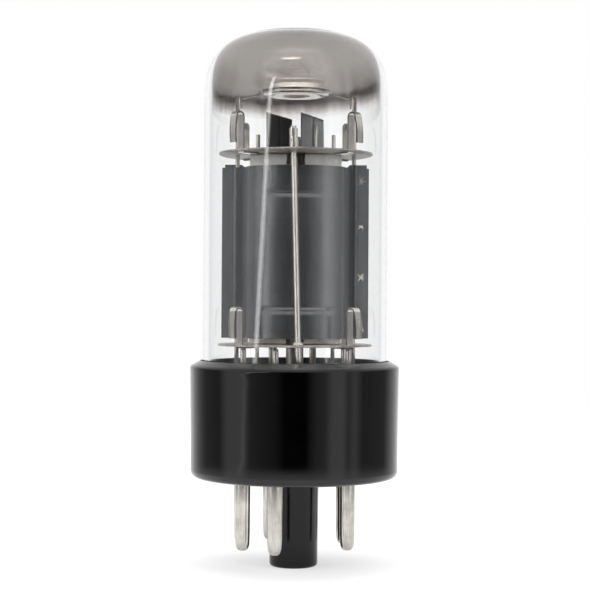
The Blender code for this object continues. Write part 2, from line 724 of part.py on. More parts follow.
def make_grid(name, half_width, rod_radius, rise, half_depth, pitch, finishes, parts, helpers):
    """A wire wound on two rods."""
    low = PLATE_BOTTOM_Z + GRID_END_SPACE
    high = PLATE_TOP_Z - GRID_END_SPACE
    turn_steps = 12
    count = round((high - low) / pitch * turn_steps)
    points = []
    for step in range(count + 1):
        angle = 2 * math.pi * step / turn_steps
        z = low + pitch * step / turn_steps
        points.append((half_width * math.cos(angle), half_depth * math.sin(angle), z))
    winding = wire(name, points, GRID_WIRE_RADIUS, finishes["nickel"], parts, resolution=0)
    winding = as_mesh(winding, parts)

    def build_rods(work):
        for side in (-1, 1):
            place = (side * half_width, 0)
            add_rod(work, place, ROD_BOTTOM_Z, UPPER_MICA_TOP_Z + rise, rod_radius)

    boolean(winding, "UNION", add_helper(name + "_rods", mesh_from(name + "_rods", build_rods), helpers))


def make_cathode(finishes, parts):
    """The oval sleeve on the axis, open at both ends."""
    outline = oval(CATHODE_HALF_WIDTH, CATHODE_HALF_DEPTH, 2, 0, 360, 16)[:-1]
    heights = (ROD_BOTTOM_Z, UPPER_MICA_TOP_Z + CATHODE_RISE)
    points = [(x, y, z) for z in heights for x, y in outline]
    count = len(outline)
    faces = [(i, (i + 1) % count, count + (i + 1) % count, count + i) for i in range(count)]
    mesh = bpy.data.meshes.new("cathode_sleeve")
    mesh.from_pydata(points, [], faces)
    thicken(add_object("cathode_sleeve", mesh, finishes["cathode_coat"], parts), CATHODE_WALL)


def make_heater(finishes, parts):
    """A coated wire folded once inside the cathode."""
    low = HEATER_BOTTOM_Z
    bend_z = UPPER_MICA_Z - HEATER_TOP_SPACE
    bend = arc((0.0, bend_z), (HEATER_HALF_SPAN, HEATER_HALF_SPAN), 180, 0, 6)
    path = [(-HEATER_HALF_SPAN, low), *bend, (HEATER_HALF_SPAN, low)]
    points = [(x, 0.0, z) for x, z in path]
    wire("heater", points, HEATER_RADIUS, finishes["heater_coat"], parts, resolution=1)


def make_beam_plates(finishes, parts, helpers):
    """Two folded strips round the grids, with a band over and under a window on each broad side."""
    low = LOWER_MICA_TOP_Z + WIRE_GAP
    high = UPPER_MICA_Z - WIRE_GAP
    share = (BEAM_OPENING / BEAM_HALF_WIDTH) ** (PLATE_SQUARENESS / 2)
    end = math.degrees(math.acos(share))
    outline = oval(BEAM_HALF_WIDTH, BEAM_HALF_DEPTH, PLATE_SQUARENESS, -end, end, 14)
    points = [(x, y, z) for z in (low, high) for x, y in outline]
    count = len(outline)
    faces = [(i, i + 1, count + i + 1, count + i) for i in range(count - 1)]
    mesh = bpy.data.meshes.new("beam_plate")
    mesh.from_pydata(points, [], faces)
    mesh.materials.append(finishes["nickel"])

    def build_window(work):
        size = (2 * BEAM_WINDOW_HALF_WIDTH, 3 * BEAM_HALF_DEPTH, high - low - 2 * BEAM_BAND)
        add_block(work, (0, 0, (low + high) / 2), size)

    window = add_helper("beam_window", mesh_from("beam_window", build_window), helpers)
    for side, turn in (("right", 0.0), ("left", math.pi)):
        beam = bpy.data.objects.new(f"beam_plate_{side}", mesh)
        beam.rotation_euler.z = turn
        parts.objects.link(beam)
        thicken(beam, BEAM_SHEET)
        boolean(beam, "DIFFERENCE", window)


def make_flags(finishes, parts):
    """Blackened fins that cool the control grid, each beside its rod on the upper mica."""
    low = UPPER_MICA_TOP_Z + FLAG_LIFT
    along = turned(90 - FLAG_TURN)
    aside = turned(-FLAG_TURN)
    offset = CONTROL_ROD_RADIUS + WELD_GAP + FLAG_THICKNESS / 2
    for side, name in ((-1, "left"), (1, "right")):
        centre = Vector((side * CONTROL_ROD_X, 0, low + FLAG_HEIGHT / 2)) - side * aside * offset
        path = [centre - along * FLAG_LENGTH / 2, centre + along * FLAG_LENGTH / 2]
        fin = f"radiator_fin_{name}"
        strip(fin, path, (0, 0, 1), FLAG_HEIGHT, FLAG_THICKNESS, finishes["carbonised"], parts)


def make_leads(finishes, parts):
    """Stiff wires from the bores of the pins, through the stem, to just under the lower mica."""
    for number in PIN_NUMBERS:
        angle = pin_angle(number)
        points = [
            turned(angle, PIN_CIRCLE_RADIUS, SEAT_Z - PIN_BORE_DEPTH + WIRE_GAP),
            turned(angle, PIN_CIRCLE_RADIUS, FLOOR_TOP_Z + LEAD_STRAIGHT),
            turned(angle, STEM_LEAD_CIRCLE_RADIUS, BULB_BOTTOM_Z - LEAD_STRAIGHT),
            turned(angle, STEM_LEAD_CIRCLE_RADIUS, LOWER_MICA_Z - LEAD_TOP_GAP),
        ]
        lead = wire(f"stem_lead_{number}", points, LEAD_RADIUS, finishes["nickel"], parts)
        as_mesh(lead, parts)


def make_strips(finishes, parts):
    """The strips that carry each pin's lead to its electrode, low down where the base hides them."""
    cathode_angle = math.radians(pin_angle(8))
    cathode_reach = 1 / math.hypot(
        math.cos(cathode_angle) / CATHODE_HALF_WIDTH,
        math.sin(cathode_angle) / CATHODE_HALF_DEPTH,
    )
    joined = (
        ("heater_strip_left", 2, (-HEATER_HALF_SPAN, 0), HEATER_RADIUS, HEATER_STRIP_Z),
        ("plate_strip", 3, (-PLATE_ROD_X, 0), PLATE_ROD_RADIUS, STRIP_Z),
        ("screen_strip", 4, (-SCREEN_ROD_X, 0), SCREEN_ROD_RADIUS, STRIP_Z),
        ("control_strip", 5, (-CONTROL_ROD_X, 0), CONTROL_ROD_RADIUS, STRIP_Z),
        ("heater_strip_right", 7, (HEATER_HALF_SPAN, 0), HEATER_RADIUS, HEATER_STRIP_Z),
        ("cathode_strip", 8, (0, 0), cathode_reach + CATHODE_WALL / 2, STRIP_Z),
    )
    for name, number, place, reach, z in joined:
        lead = turned(pin_angle(number), STEM_LEAD_CIRCLE_RADIUS, z)
        target = Vector((*place, z))
        way = (target - lead).normalized()
        edge = STRIP_SHEET / 2
        start = lead + way * (math.hypot(LEAD_RADIUS, edge) + WELD_GAP)
        end = target - way * (math.hypot(reach, edge) + WELD_GAP)
        strip(name, [start, end], (0, 0, 1), STRIP_WIDTH, STRIP_SHEET, finishes["nickel"], parts)


def getter_profile():
    """The dish from above its hub to its lip: a raised hub inside a shallow ring trough."""
    trough = (GETTER_HUB_RADIUS + GETTER_RADIUS) / 2
    hub_z = GETTER_Z + GETTER_HUB_HEIGHT
    lift = GETTER_ROUND / 4
    return [
        (0.0, hub_z),
        (GETTER_HUB_RADIUS - GETTER_ROUND, hub_z),
        (GETTER_HUB_RADIUS, hub_z - lift),
        (GETTER_HUB_RADIUS + GETTER_ROUND, GETTER_Z + lift),
        (trough, GETTER_Z),
        (GETTER_RADIUS - GETTER_ROUND, GETTER_Z + lift),
        (GETTER_RADIUS, GETTER_Z + GETTER_ROUND + lift),
        (GETTER_RADIUS, GETTER_Z + GETTER_HEIGHT),
    ]


def make_getter(finishes, parts):
    """The dish, what is left of its fill, and the two strips that hold it on the plate's rods."""
    profile = getter_profile()
    dish = lathe("getter_dish", profile, ROUND_STEPS // 2, finishes["nickel"], parts)
    thicken(dish, GETTER_SHEET)

    trough = (GETTER_HUB_RADIUS + GETTER_RADIUS) / 2
    fill_low = GETTER_Z + GETTER_SHEET / 2 + FIT_GAP
    fill = [
        (trough - FILL_WIDTH / 4, fill_low + FILL_HEIGHT),
        (trough + FILL_WIDTH / 4, fill_low + FILL_HEIGHT),
        (trough + FILL_WIDTH / 2, fill_low),
        (trough - FILL_WIDTH / 2, fill_low),
    ]
    lathe("getter_fill", fill, ROUND_STEPS // 2, finishes["getter_fill"], parts, closed=True)

    rod_top = UPPER_MICA_TOP_Z + PLATE_ROD_RISE
    hold_z = rod_top - GETTER_STRIP_WIDTH
    rim = GETTER_RADIUS + GETTER_SHEET / 2 + WELD_GAP + GETTER_STRIP_SHEET / 2
    reach = PLATE_ROD_X - PLATE_ROD_RADIUS - WELD_GAP - GETTER_STRIP_SHEET / 2
    dish_z = GETTER_Z + GETTER_HEIGHT - GETTER_STRIP_SHEET
    for name, side in (("left", -1), ("right", 1)):
        bend_z = hold_z + GETTER_STRIP_WIDTH / 2
        path = [(rim, dish_z), (rim, bend_z), (reach, hold_z), (reach, hold_z - GETTER_STRIP_TAIL)]
        points = [(side * x, 0.0, z) for x, z in path]
        label = f"getter_strip_{name}"
        strip(label, points, (0, 1, 0), GETTER_STRIP_WIDTH, GETTER_STRIP_SHEET, finishes["nickel"], parts)


def main():
    clear_scene()
    parts = new_collection("vacuum_tube")
    helpers = new_collection("cutters")
    finishes = make_finishes()
    make_base(finishes, parts, helpers)
    make_pins(finishes, parts)
    make_bulb(finishes, parts)
    make_stem(finishes, parts, helpers)
    make_cement(finishes, parts)
    make_film(finishes, parts)
    make_mica("lower_mica", LOWER_MICA_Z, finishes, parts, helpers)
    make_mica("upper_mica", UPPER_MICA_Z, finishes, parts, helpers)
    make_hairpins("lower", LOWER_MICA_Z, finishes, parts)
    make_hairpins("upper", UPPER_MICA_Z, finishes, parts)
    make_plate(finishes, parts)
    make_plate_rods(finishes, parts)
    make_tie_rods(finishes, parts)
    make_grid(
        "screen_grid",
        SCREEN_ROD_X,
        SCREEN_ROD_RADIUS,
        SCREEN_ROD_RISE,
        SCREEN_GRID_DEPTH,
        SCREEN_GRID_PITCH,
        finishes,
        parts,
        helpers,
    )
    make_grid(
        "control_grid",
        CONTROL_ROD_X,
        CONTROL_ROD_RADIUS,
        CONTROL_ROD_RISE,
        CONTROL_GRID_DEPTH,
        CONTROL_GRID_PITCH,
        finishes,
        parts,
        helpers,
    )
    make_cathode(finishes, parts)
    make_heater(finishes, parts)
    make_beam_plates(finishes, parts, helpers)
    make_flags(finishes, parts)
    make_leads(finishes, parts)
    make_strips(finishes, parts)
    make_getter(finishes, parts)
    shade(parts)


main()
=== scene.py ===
"""Looks of an octal beam power tube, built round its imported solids.

All lengths are in metres, in the frame of the solids: the tube stands on the end of its locating key
at the origin, +Z runs up its axis, and the side that the photograph shows faces -Y.
"""

import json
from math import acos, asin, copysign, cos, degrees, exp, pi, radians, sin, sqrt

import bmesh
import bpy
from mathutils import Matrix, Vector, noise


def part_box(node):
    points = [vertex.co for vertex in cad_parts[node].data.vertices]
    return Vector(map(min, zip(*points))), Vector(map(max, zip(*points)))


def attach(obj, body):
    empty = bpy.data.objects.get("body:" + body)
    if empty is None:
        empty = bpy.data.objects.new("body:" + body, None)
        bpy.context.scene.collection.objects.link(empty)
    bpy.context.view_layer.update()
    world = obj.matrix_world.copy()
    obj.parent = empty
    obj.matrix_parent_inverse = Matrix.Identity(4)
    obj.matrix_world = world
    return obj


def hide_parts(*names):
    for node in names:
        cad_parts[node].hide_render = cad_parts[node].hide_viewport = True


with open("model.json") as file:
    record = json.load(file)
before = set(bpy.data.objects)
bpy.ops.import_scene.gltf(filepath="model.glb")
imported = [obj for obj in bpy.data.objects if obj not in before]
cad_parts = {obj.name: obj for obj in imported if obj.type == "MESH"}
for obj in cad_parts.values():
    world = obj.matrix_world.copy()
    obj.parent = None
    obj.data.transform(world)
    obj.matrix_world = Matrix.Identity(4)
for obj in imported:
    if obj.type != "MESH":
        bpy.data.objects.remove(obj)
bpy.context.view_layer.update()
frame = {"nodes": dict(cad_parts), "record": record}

# Moulded base
BASE_BODY_INSET = 0.0002
BASE_WALL = 0.0014
BASE_FLOOR = 0.0020
BASE_LOWER_ROUND = 0.0012
BASE_TOP_SLOPE = 0.0009
BASE_RIM_ROUND = 0.0004
KEY_RADIUS = 0.00385
KEY_BORE_RADIUS = 0.0025
KEY_END_THICKNESS = 0.0015
KEY_END_ROUND = 0.0006
RIB_WIDTH = 0.0017
RIB_REACH = 0.0009
RIB_ANGLE = 48.5
RIB_BEVEL = 0.0003
KEY_FINISH_TOP_GAP = 0.0002
KEY_FINISH_MARGIN = 0.0004

# Pins and leads
PIN_NUMBERS = (1, 2, 3, 4, 5, 7, 8)
PIN_RADIUS = 0.00118
PIN_HEAD_RADIUS = 0.0016
PIN_HEAD_HEIGHT = 0.0004
PIN_HOLE_GAP = 0.00006
PIN_UNEVENNESS = 0.00003
LEAD_RADIUS = 0.00045

# Glass
BULB_WALL = 0.0011
DOME_HEIGHT = 0.0108
DOME_WALL = 0.0004
DOME_SQUARENESS = 2.75
INNER_DOME_SQUARENESS = 3.1
DOME_STEPS = 48
SHOULDER_HEIGHT = 0.0055
SHOULDER_INSET = 0.0020
SHOULDER_STEPS = 12
CEMENT_GAP = 0.0001

# Getter
FILM_GAP = 0.00006
FILM_THICKNESS = 0.00004
FILM_STEPS = 72
FILM_EDGE = 0.0050
FILM_FADE = 0.0017
FILM_SPOT = 0.0060
FILM_SPOT_Z = 0.0783
FILM_SPOT_HEIGHT = 0.0033
FILM_SLOPE = -0.05
FILM_TINT = (0.892, 0.874, 0.860)
FILM_INWARD = (0.25, 0.245, 0.24, 1.0)
FILM_SHEEN = 0.07
FILM_MIRROR = 0.5
GETTER_HUB = 0.0031
GETTER_HEIGHT = 0.0006
GETTER_SHEET = 0.00018
GETTER_CLEARANCE = 0.0001
CRUST_WIDTH = 0.0010
CRUST_ROUGHNESS = 0.00005
RIBBON_SHEET = 0.00016

# Plate, as pressed sheet
PLATE_SQUARENESS = 2.5
PLATE_SHEET = 0.00025
PLATE_LEVELS = 96
PLATE_BOW = 0.00003
WING_SEAM = 0.0002
PLATE_ROD_GAP = 0.00015
PLATE_SHOULDER = 0.0013
BEAD_INSET = 0.0043
BEAD_HEIGHT = 0.0011
BEAD_DEPTH = 0.0002
NARROW_WING_RISE = 0.0005
PLATE_WING = 0.0099
# Where the painted shade along each rod's channel lies, out from the axis
PLATE_CHANNEL = 0.0089
STAKE_X = 0.0103
STAKE_PLACES = (0.0600, 0.0527, 0.0450, 0.0366)
STAKE_RADIUS = 0.00048
STAKE_LIFT = 0.00007
STAKE_SCATTER = 0.0004
STAKE_STROKES = 4

# Micas and the springs that centre them
MICA_ROUND = 0.00006
MICA_HOLE_GAP = 0.00012
MICA_NICK = 0.004
SPRING_ANGLES = {"right_rear": 41.5, "left_rear": 138.5, "left_front": 221.5, "right_front": 318.5}
SPRING_SPLAY = {"left_front": 0.1, "right_front": 0.5, "left_rear": 0.5, "right_rear": 0.8}
SPRING_PLACE = 0.0109
SPRING_WIDTH = 0.00135
SPRING_SHEET = 0.00014
SPRING_SLOT_GAP = 0.0003
SPRING_RIB = 0.00012
SPRING_RIB_WIDTH = 0.00022
SPRING_RIB_SLANT = 0.00006
SPRING_BEND_RADIUS = 0.00062
SPRING_HEEL_RADIUS = 0.0003
SPRING_FOOT = 0.0028
SPRING_FOOT_GAP = 0.00003
SPRING_GLASS_GAP = 0.00025
SPRING_TIP_LIFT = 0.0010
SPRING_BOW = 0.00012

# Rods, grids, beam plates, cathode and fins
ROD_ROUND = 0.0001
ROD_STEPS = 24
TIE_ROD_RADIUS = 0.00047
TIE_ROD_END_GAP = 0.0001
SEAM_DEPTH = 0.3
SEAM_WIDTH = 0.3
COLLAR_GAP = 0.00002
CRIMP_WALL = 0.00018
CRIMP_GAP = 0.00006
CRIMP_LEVELS = 14
CRIMP_STEPS = 32
GRID_WIRE_RADIUS = 0.00006
GRID_DEPTH_GAP = 0.0001
GRID_END_GAP = 0.0022
GRID_TURN_STEPS = 20
GRIDS = {"screen_grid": (0.00032, 0.00115), "control_grid": (0.00028, 0.00085)}
BEAM_WINDOW_HALF_WIDTH = 0.0039
BEAM_BAND = 0.0030
BEAM_OPENING = 0.0014
BEAM_SHEET = 0.00015
BEAM_END_GAP = 0.00002
CATHODE_WALL = 0.00010
FIN_TURN = 20.5
FIN_LENGTH = 0.0104
FIN_SHEET = 0.00016
FIN_ROWS = 20
FIN_COLUMNS = 48
FIN_CHANNEL = 0.00016
FIN_CHANNEL_WIDTH = 0.0005
FIN_WAVE = 0.00010

# Welded strips
STRIP_NAMES = (
    "heater_strip_left",
    "heater_strip_right",
    "plate_strip",
    "screen_strip",
    "control_strip",
    "cathode_strip",
)
WELD_STRIP_SHEET = 0.00018
WELD_STRIP_SHARE = 0.94
WELD_STRIP_SAG = 0.00008

# Facets
ROUND_STEPS = 128
FINE_STEPS = 40
WIRE_SIDES = 16
HOLE_SIDES = 24
SMOOTH_ANGLE = 38

# Camera, as the photograph has it: place in metres, tilt and roll in degrees, lens in millimetres
CAMERA_PLACE = (0.0, -0.2456, 0.0414)
CAMERA_TILT = 0.164
CAMERA_ROLL = 0.353
CAMERA_LENS = 95.8

# Floor and lamps
FLOOR_REACH = 6.0
FLOOR_DROP = 0.00002
LAMP_TARGET = (0.0, 0.0, 0.045)
SIDE_LAMP = ((0.25, 0.60), 3.0)
TOP_LAMP = ((0.7, 0.7), 4.0)

# Studio: panels by their angle from the camera's side in degrees, left to right, with their brightness
STUDIO_PANELS = (
    (-180, 1.0),
    (-150, 1.0),
    (-144, 0.85),
    (-126, 0.42),
    (-114, 0.23),
    (-90, 0.22),
    (-78, 0.80),
    (-58, 0.95),
    (-50, 0.30),
    (-20, 0.12),
    (-10, 0.0),
    (12, 0.0),
    (24, 0.28),
    (34, 0.40),
    (42, 0.95),
    (54, 1.0),
    (61, 0.45),
    (69, 0.80),
    (80, 0.25),
    (117, 0.21),
    (132, 0.62),
    (152, 1.0),
    (180, 1.0),
)
PANEL_BLUE = 1.02
OVERHEAD_TONE = 0.9
OVERHEAD_SPAN = (0.12, 0.45)
AMBIENT_STRENGTH = 0.75

# The narrow lamp among them: its angle at the tube's middle and width in degrees, how far it leans
# for each unit of height, its reach in height, where it fades out below, and its brightness
STRIP_ANGLE = -46.6
STRIP_WIDTH = 4.0
STRIP_LEAN = 1.77
STRIP_REACH = 0.2
STRIP_FOOT = -0.048
STRIP_FOOT_FADE = 0.012
STRIP_FOOT_SHARE = 0.06
STRIP_BRIGHTNESS = 6.5

# Extra light from the front and above for what the dome's mirror shows
CANOPY_BRIGHTNESS = 3.0
CANOPY_HEIGHTS = (-0.15, 0.5)
CANOPY_ANGLES = (120, 20)

# Heights and radii that the solids give
SEAT_Z = next(m["pos_m"][2] for m in frame["record"]["mounts"] if m["name"] == "socket_seat")
BASE_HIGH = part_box("base_shell")[1]
BULB_LOW, BULB_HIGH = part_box("glass_bulb")
BULB_RADIUS = BULB_HIGH.x
DOME_Z = BULB_HIGH.z - DOME_HEIGHT
FILM_BOTTOM_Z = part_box("getter_film")[0].z - FILM_FADE
STEM_LOW, STEM_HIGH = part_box("button_stem")
PLATE_LOW, PLATE_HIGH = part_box("plate_front")
PLATE_TOP_Z = PLATE_HIGH.z - NARROW_WING_RISE
GETTER_LOW, GETTER_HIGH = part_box("getter_dish")

WHITE = (1.0, 1.0, 1.0, 1.0)
BLACK = (0.0, 0.0, 0.0, 1.0)


class Nodes:
    """A node tree whose nodes are added and joined with short calls."""

    def __init__(self, tree):
        self.tree = tree
        self.tree.nodes.clear()
        self.coordinates = self.add("TexCoord").outputs
        self.place = self.coordinates["Object"]
        self.path = self.add("LightPath").outputs

    def add(self, kind, settings=None, **inputs):
        node = self.tree.nodes.new("ShaderNode" + kind)
        for name, value in (settings or {}).items():
            setattr(node, name, value)
        for name, value in inputs.items():
            self.fill(node.inputs[name.replace("_", " ")], value)
        return node

    def fill(self, socket, value):
        if isinstance(value, bpy.types.NodeSocket):
            self.tree.links.new(value, socket)
        else:
            socket.default_value = value

    def axis(self, name, vector=None):
        return self.add("SeparateXYZ", Vector=vector or self.place).outputs[name]

    def stretched(self, *scale):
        """The object's coordinates, scaled along each axis."""
        return self.add("Mapping", Vector=self.place, Scale=scale).outputs["Vector"]

    def noise(self, scale, detail=4.0, roughness=0.6, vector=None):
        vector = vector or self.place
        node = self.add("TexNoise", Scale=scale, Detail=detail, Roughness=roughness, Vector=vector)
        return node.outputs["Fac"]

    def ramp(self, value, *stops):
        """Stops are (position, grey) or (position, colour)."""
        node = self.add("ValToRGB", Fac=value)
        ramp = node.color_ramp
        while len(ramp.elements) < len(stops):
            ramp.elements.new(1.0)
        for element, (position, colour) in zip(ramp.elements, stops):
            element.position = position
            element.color = (*colour, 1.0) if isinstance(colour, tuple) else (colour, colour, colour, 1.0)
        return node.outputs["Color"]

    def math(self, operation, value, *others):
        """The operation on a value and each of the others in turn."""
        for other in others or (0.0,):
            node = self.add("Math", {"operation": operation})
            self.fill(node.inputs[0], value)
            self.fill(node.inputs[1], other)
            value = node.outputs[0]
        return value

    def weighed(self, first, share, second, other_share):
        """The sum of two values, each with its share."""
        part = self.math("MULTIPLY", first, share)
        return self.math("ADD", part, self.math("MULTIPLY", second, other_share))

    def span(self, value, low, high, start=0.0, end=1.0, kind="SMOOTHSTEP"):
        """Start below the low limit, end above the high one and a slope between."""
        node = self.add("MapRange", {"interpolation_type": kind}, Value=value, To_Min=start, To_Max=end)
        node.inputs["From Min"].default_value = low
        node.inputs["From Max"].default_value = high
        return node.outputs["Result"]

    def mix(self, share, first, second, kind="MIX"):
        """Two colours mixed."""
        node = self.add("Mix", {"data_type": "RGBA", "blend_type": kind}, Factor=share)
        self.fill(node.inputs[6], first)
        self.fill(node.inputs[7], second)
        return node.outputs[2]

    def blend(self, share, first, second):
        """Two shaders mixed."""
        node = self.add("MixShader", Fac=share)
        self.fill(node.inputs[1], first)
        self.fill(node.inputs[2], second)
        return node.outputs[0]

    def bump(self, height, strength, distance, normal=None):
        node = self.add("Bump", Height=height, Strength=strength, Distance=distance)
        if normal:
            self.fill(node.inputs["Normal"], normal)
        return node.outputs["Normal"]


class Finish(Nodes):
    """A material with its nodes."""

    def __init__(self, name):
        self.material = bpy.data.materials.new(name)
        self.material.use_nodes = True
        super().__init__(self.material.node_tree)

    def principled(self, **inputs):
        return self.add("BsdfPrincipled", **inputs).outputs["BSDF"]

    def transparent(self, colour=WHITE):
        return self.add("BsdfTransparent", Color=colour).outputs["BSDF"]

    def finish(self, shader):
        self.fill(self.add("OutputMaterial").inputs["Surface"], shader)
        return self.material


def phenolic(name, level, low_rough, high_rough, stretch):
    """Black moulding: faint mottling, fine grain, shallow waves, and gloss that may run in streaks."""
    f = Finish(name)
    colour = f.ramp(f.noise(420.0), (0.35, (0.0003, 0.0003, 0.0004)), (0.75, (0.0009, 0.0009, 0.0011)))
    streaks = f.noise(180.0, 6.0, 0.6, f.stretched(*stretch))
    rough = f.ramp(streaks, (0.3, low_rough), (0.8, high_rough))
    waves = f.bump(f.noise(90.0, 2.0), 0.12, 0.0004)
    grain = f.bump(f.noise(4200.0, 3.0), 0.05, 0.00005, waves)
    return f.finish(f.principled(
        Base_Color=colour,
        Roughness=rough,
        Normal=grain,
        IOR=1.5,
        Specular_IOR_Level=level,
    ))


def metal(name, dark, light, low_rough, high_rough, grain, metallic=1.0):
    """Plain metal: patches of tone, a drawn grain along Z and uneven gloss."""
    f = Finish(name)
    drawn = f.noise(5200.0, 3.0, 0.6, f.stretched(1.0, 1.0, 0.08))
    mixed = f.weighed(f.noise(260.0, 5.0), 0.6, drawn, 0.4)
    return f.finish(f.principled(
        Base_Color=f.ramp(mixed, (0.35, dark), (0.65, light)),
        Roughness=f.ramp(f.noise(700.0, 5.0), (0.3, low_rough), (0.75, high_rough)),
        Normal=f.bump(drawn, grain, 0.00004),
        Metallic=metallic,
    ))


def carbonised(name, dark, light, metallic, wing_metallic, low_rough=0.262, high_rough=0.268):
    """Carbonised nickel: satin dark grey with vertical rolling marks and blotches, duller on the wings, with
    painted shade darkening it along each rod's channel.
    """
    f = Finish(name)
    rolled = f.noise(2600.0, 4.0, 0.6, f.stretched(1.0, 1.0, 0.05))
    mixed = f.weighed(f.noise(60.0, 2.0, 0.5), 0.65, rolled, 0.35)
    low = (dark, dark * 1.01, dark * 1.05)
    high = (light, light * 1.01, light * 1.03)
    across = f.math("ABSOLUTE", f.axis("X"))
    channel = f.math("ABSOLUTE", f.math("SUBTRACT", across, PLATE_CHANNEL))
    # Painted shade: the colour falls to 0.42 of itself along the channel where each rod lies
    shade = f.ramp(f.span(channel, 0.0003, 0.0008), (0.0, 0.42), (1.0, 1.0))
    return f.finish(f.principled(
        Base_Color=f.mix(1.0, f.ramp(mixed, (0.35, low), (0.68, high)), shade, "MULTIPLY"),
        Roughness=f.ramp(f.noise(120.0, 2.0), (0.3, low_rough), (0.75, high_rough)),
        Normal=f.bump(rolled, 0.04, 0.00003),
        Metallic=f.span(across, PLATE_WING - 0.0003, PLATE_WING + 0.0001, metallic, wing_metallic),
    ))


def mica_sheet():
    """Mica sprayed with a thin brownish coat, mottled and specked."""
    f = Finish("sprayed_mica")
    cloud = f.noise(330.0, 8.0, 0.7)
    specks = f.add("TexVoronoi", Vector=f.place, Scale=2600.0).outputs["Distance"]
    mixed = f.weighed(cloud, 0.75, specks, 0.3)
    colour = f.ramp(
        mixed,
        (0.30, (0.11, 0.092, 0.080)),
        (0.50, (0.27, 0.240, 0.215)),
        (0.68, (0.52, 0.480, 0.440)),
    )
    rough = f.ramp(cloud, (0.3, 0.25), (0.7, 0.5))
    return f.finish(f.principled(Base_Color=colour, Roughness=rough, Normal=f.bump(mixed, 0.25, 0.00005)))


def powder(name, dark, light, grain):
    """A dry coating with a fine rough grain."""
    f = Finish(name)
    cloud = f.noise(900.0, 8.0, 0.7)
    colour = f.ramp(cloud, (0.3, dark), (0.7, light))
    rough = f.ramp(cloud, (0.2, 0.75), (0.8, 0.95))
    return f.finish(f.principled(Base_Color=colour, Roughness=rough, Normal=f.bump(cloud, 0.5, grain)))


def cathode_metal():
    """Nickel sleeve with a white sprayed oxide over its middle."""
    f = Finish("coated_cathode")
    low = PLATE_LOW.z + 0.002
    high = PLATE_HIGH.z - 0.002
    edge = f.math("ADD", f.axis("Z"), f.math("MULTIPLY", f.noise(2500.0), 0.0008))
    inside = f.math("MULTIPLY", f.span(edge, low, low + 0.0004), f.span(edge, high, high + 0.0004, 1.0, 0.0))
    cloud = f.noise(1500.0, 8.0, 0.7)
    coat = f.ramp(cloud, (0.3, (0.70, 0.69, 0.65)), (0.7, (0.86, 0.85, 0.82)))
    bare = f.ramp(cloud, (0.3, (0.42, 0.40, 0.37)), (0.7, (0.62, 0.60, 0.56)))
    return f.finish(f.principled(
        Base_Color=f.mix(inside, bare, coat),
        Metallic=f.math("SUBTRACT", 1.0, inside),
        Roughness=f.span(inside, 0.0, 1.0, 0.35, 0.9),
        Normal=f.bump(cloud, 0.3, 0.00004),
    ))


def glass():
    """Clear glass with a slight waviness, which lets the lamps through to what it holds."""
    f = Finish("clear_bulb_glass")
    shader = f.principled(
        Base_Color=f.ramp(f.noise(20.0, 1.0), (0.3, (0.994, 0.998, 0.998)), (0.7, (0.998, 1.0, 1.0))),
        Normal=f.bump(f.noise(45.0, 1.0, 0.4), 0.05, 0.0004),
        Roughness=0.0,
        IOR=1.43,
        Transmission_Weight=1.0,
    )
    return f.finish(f.blend(f.path["Is Shadow Ray"], shader, f.transparent((0.94, 0.95, 0.95, 1.0))))


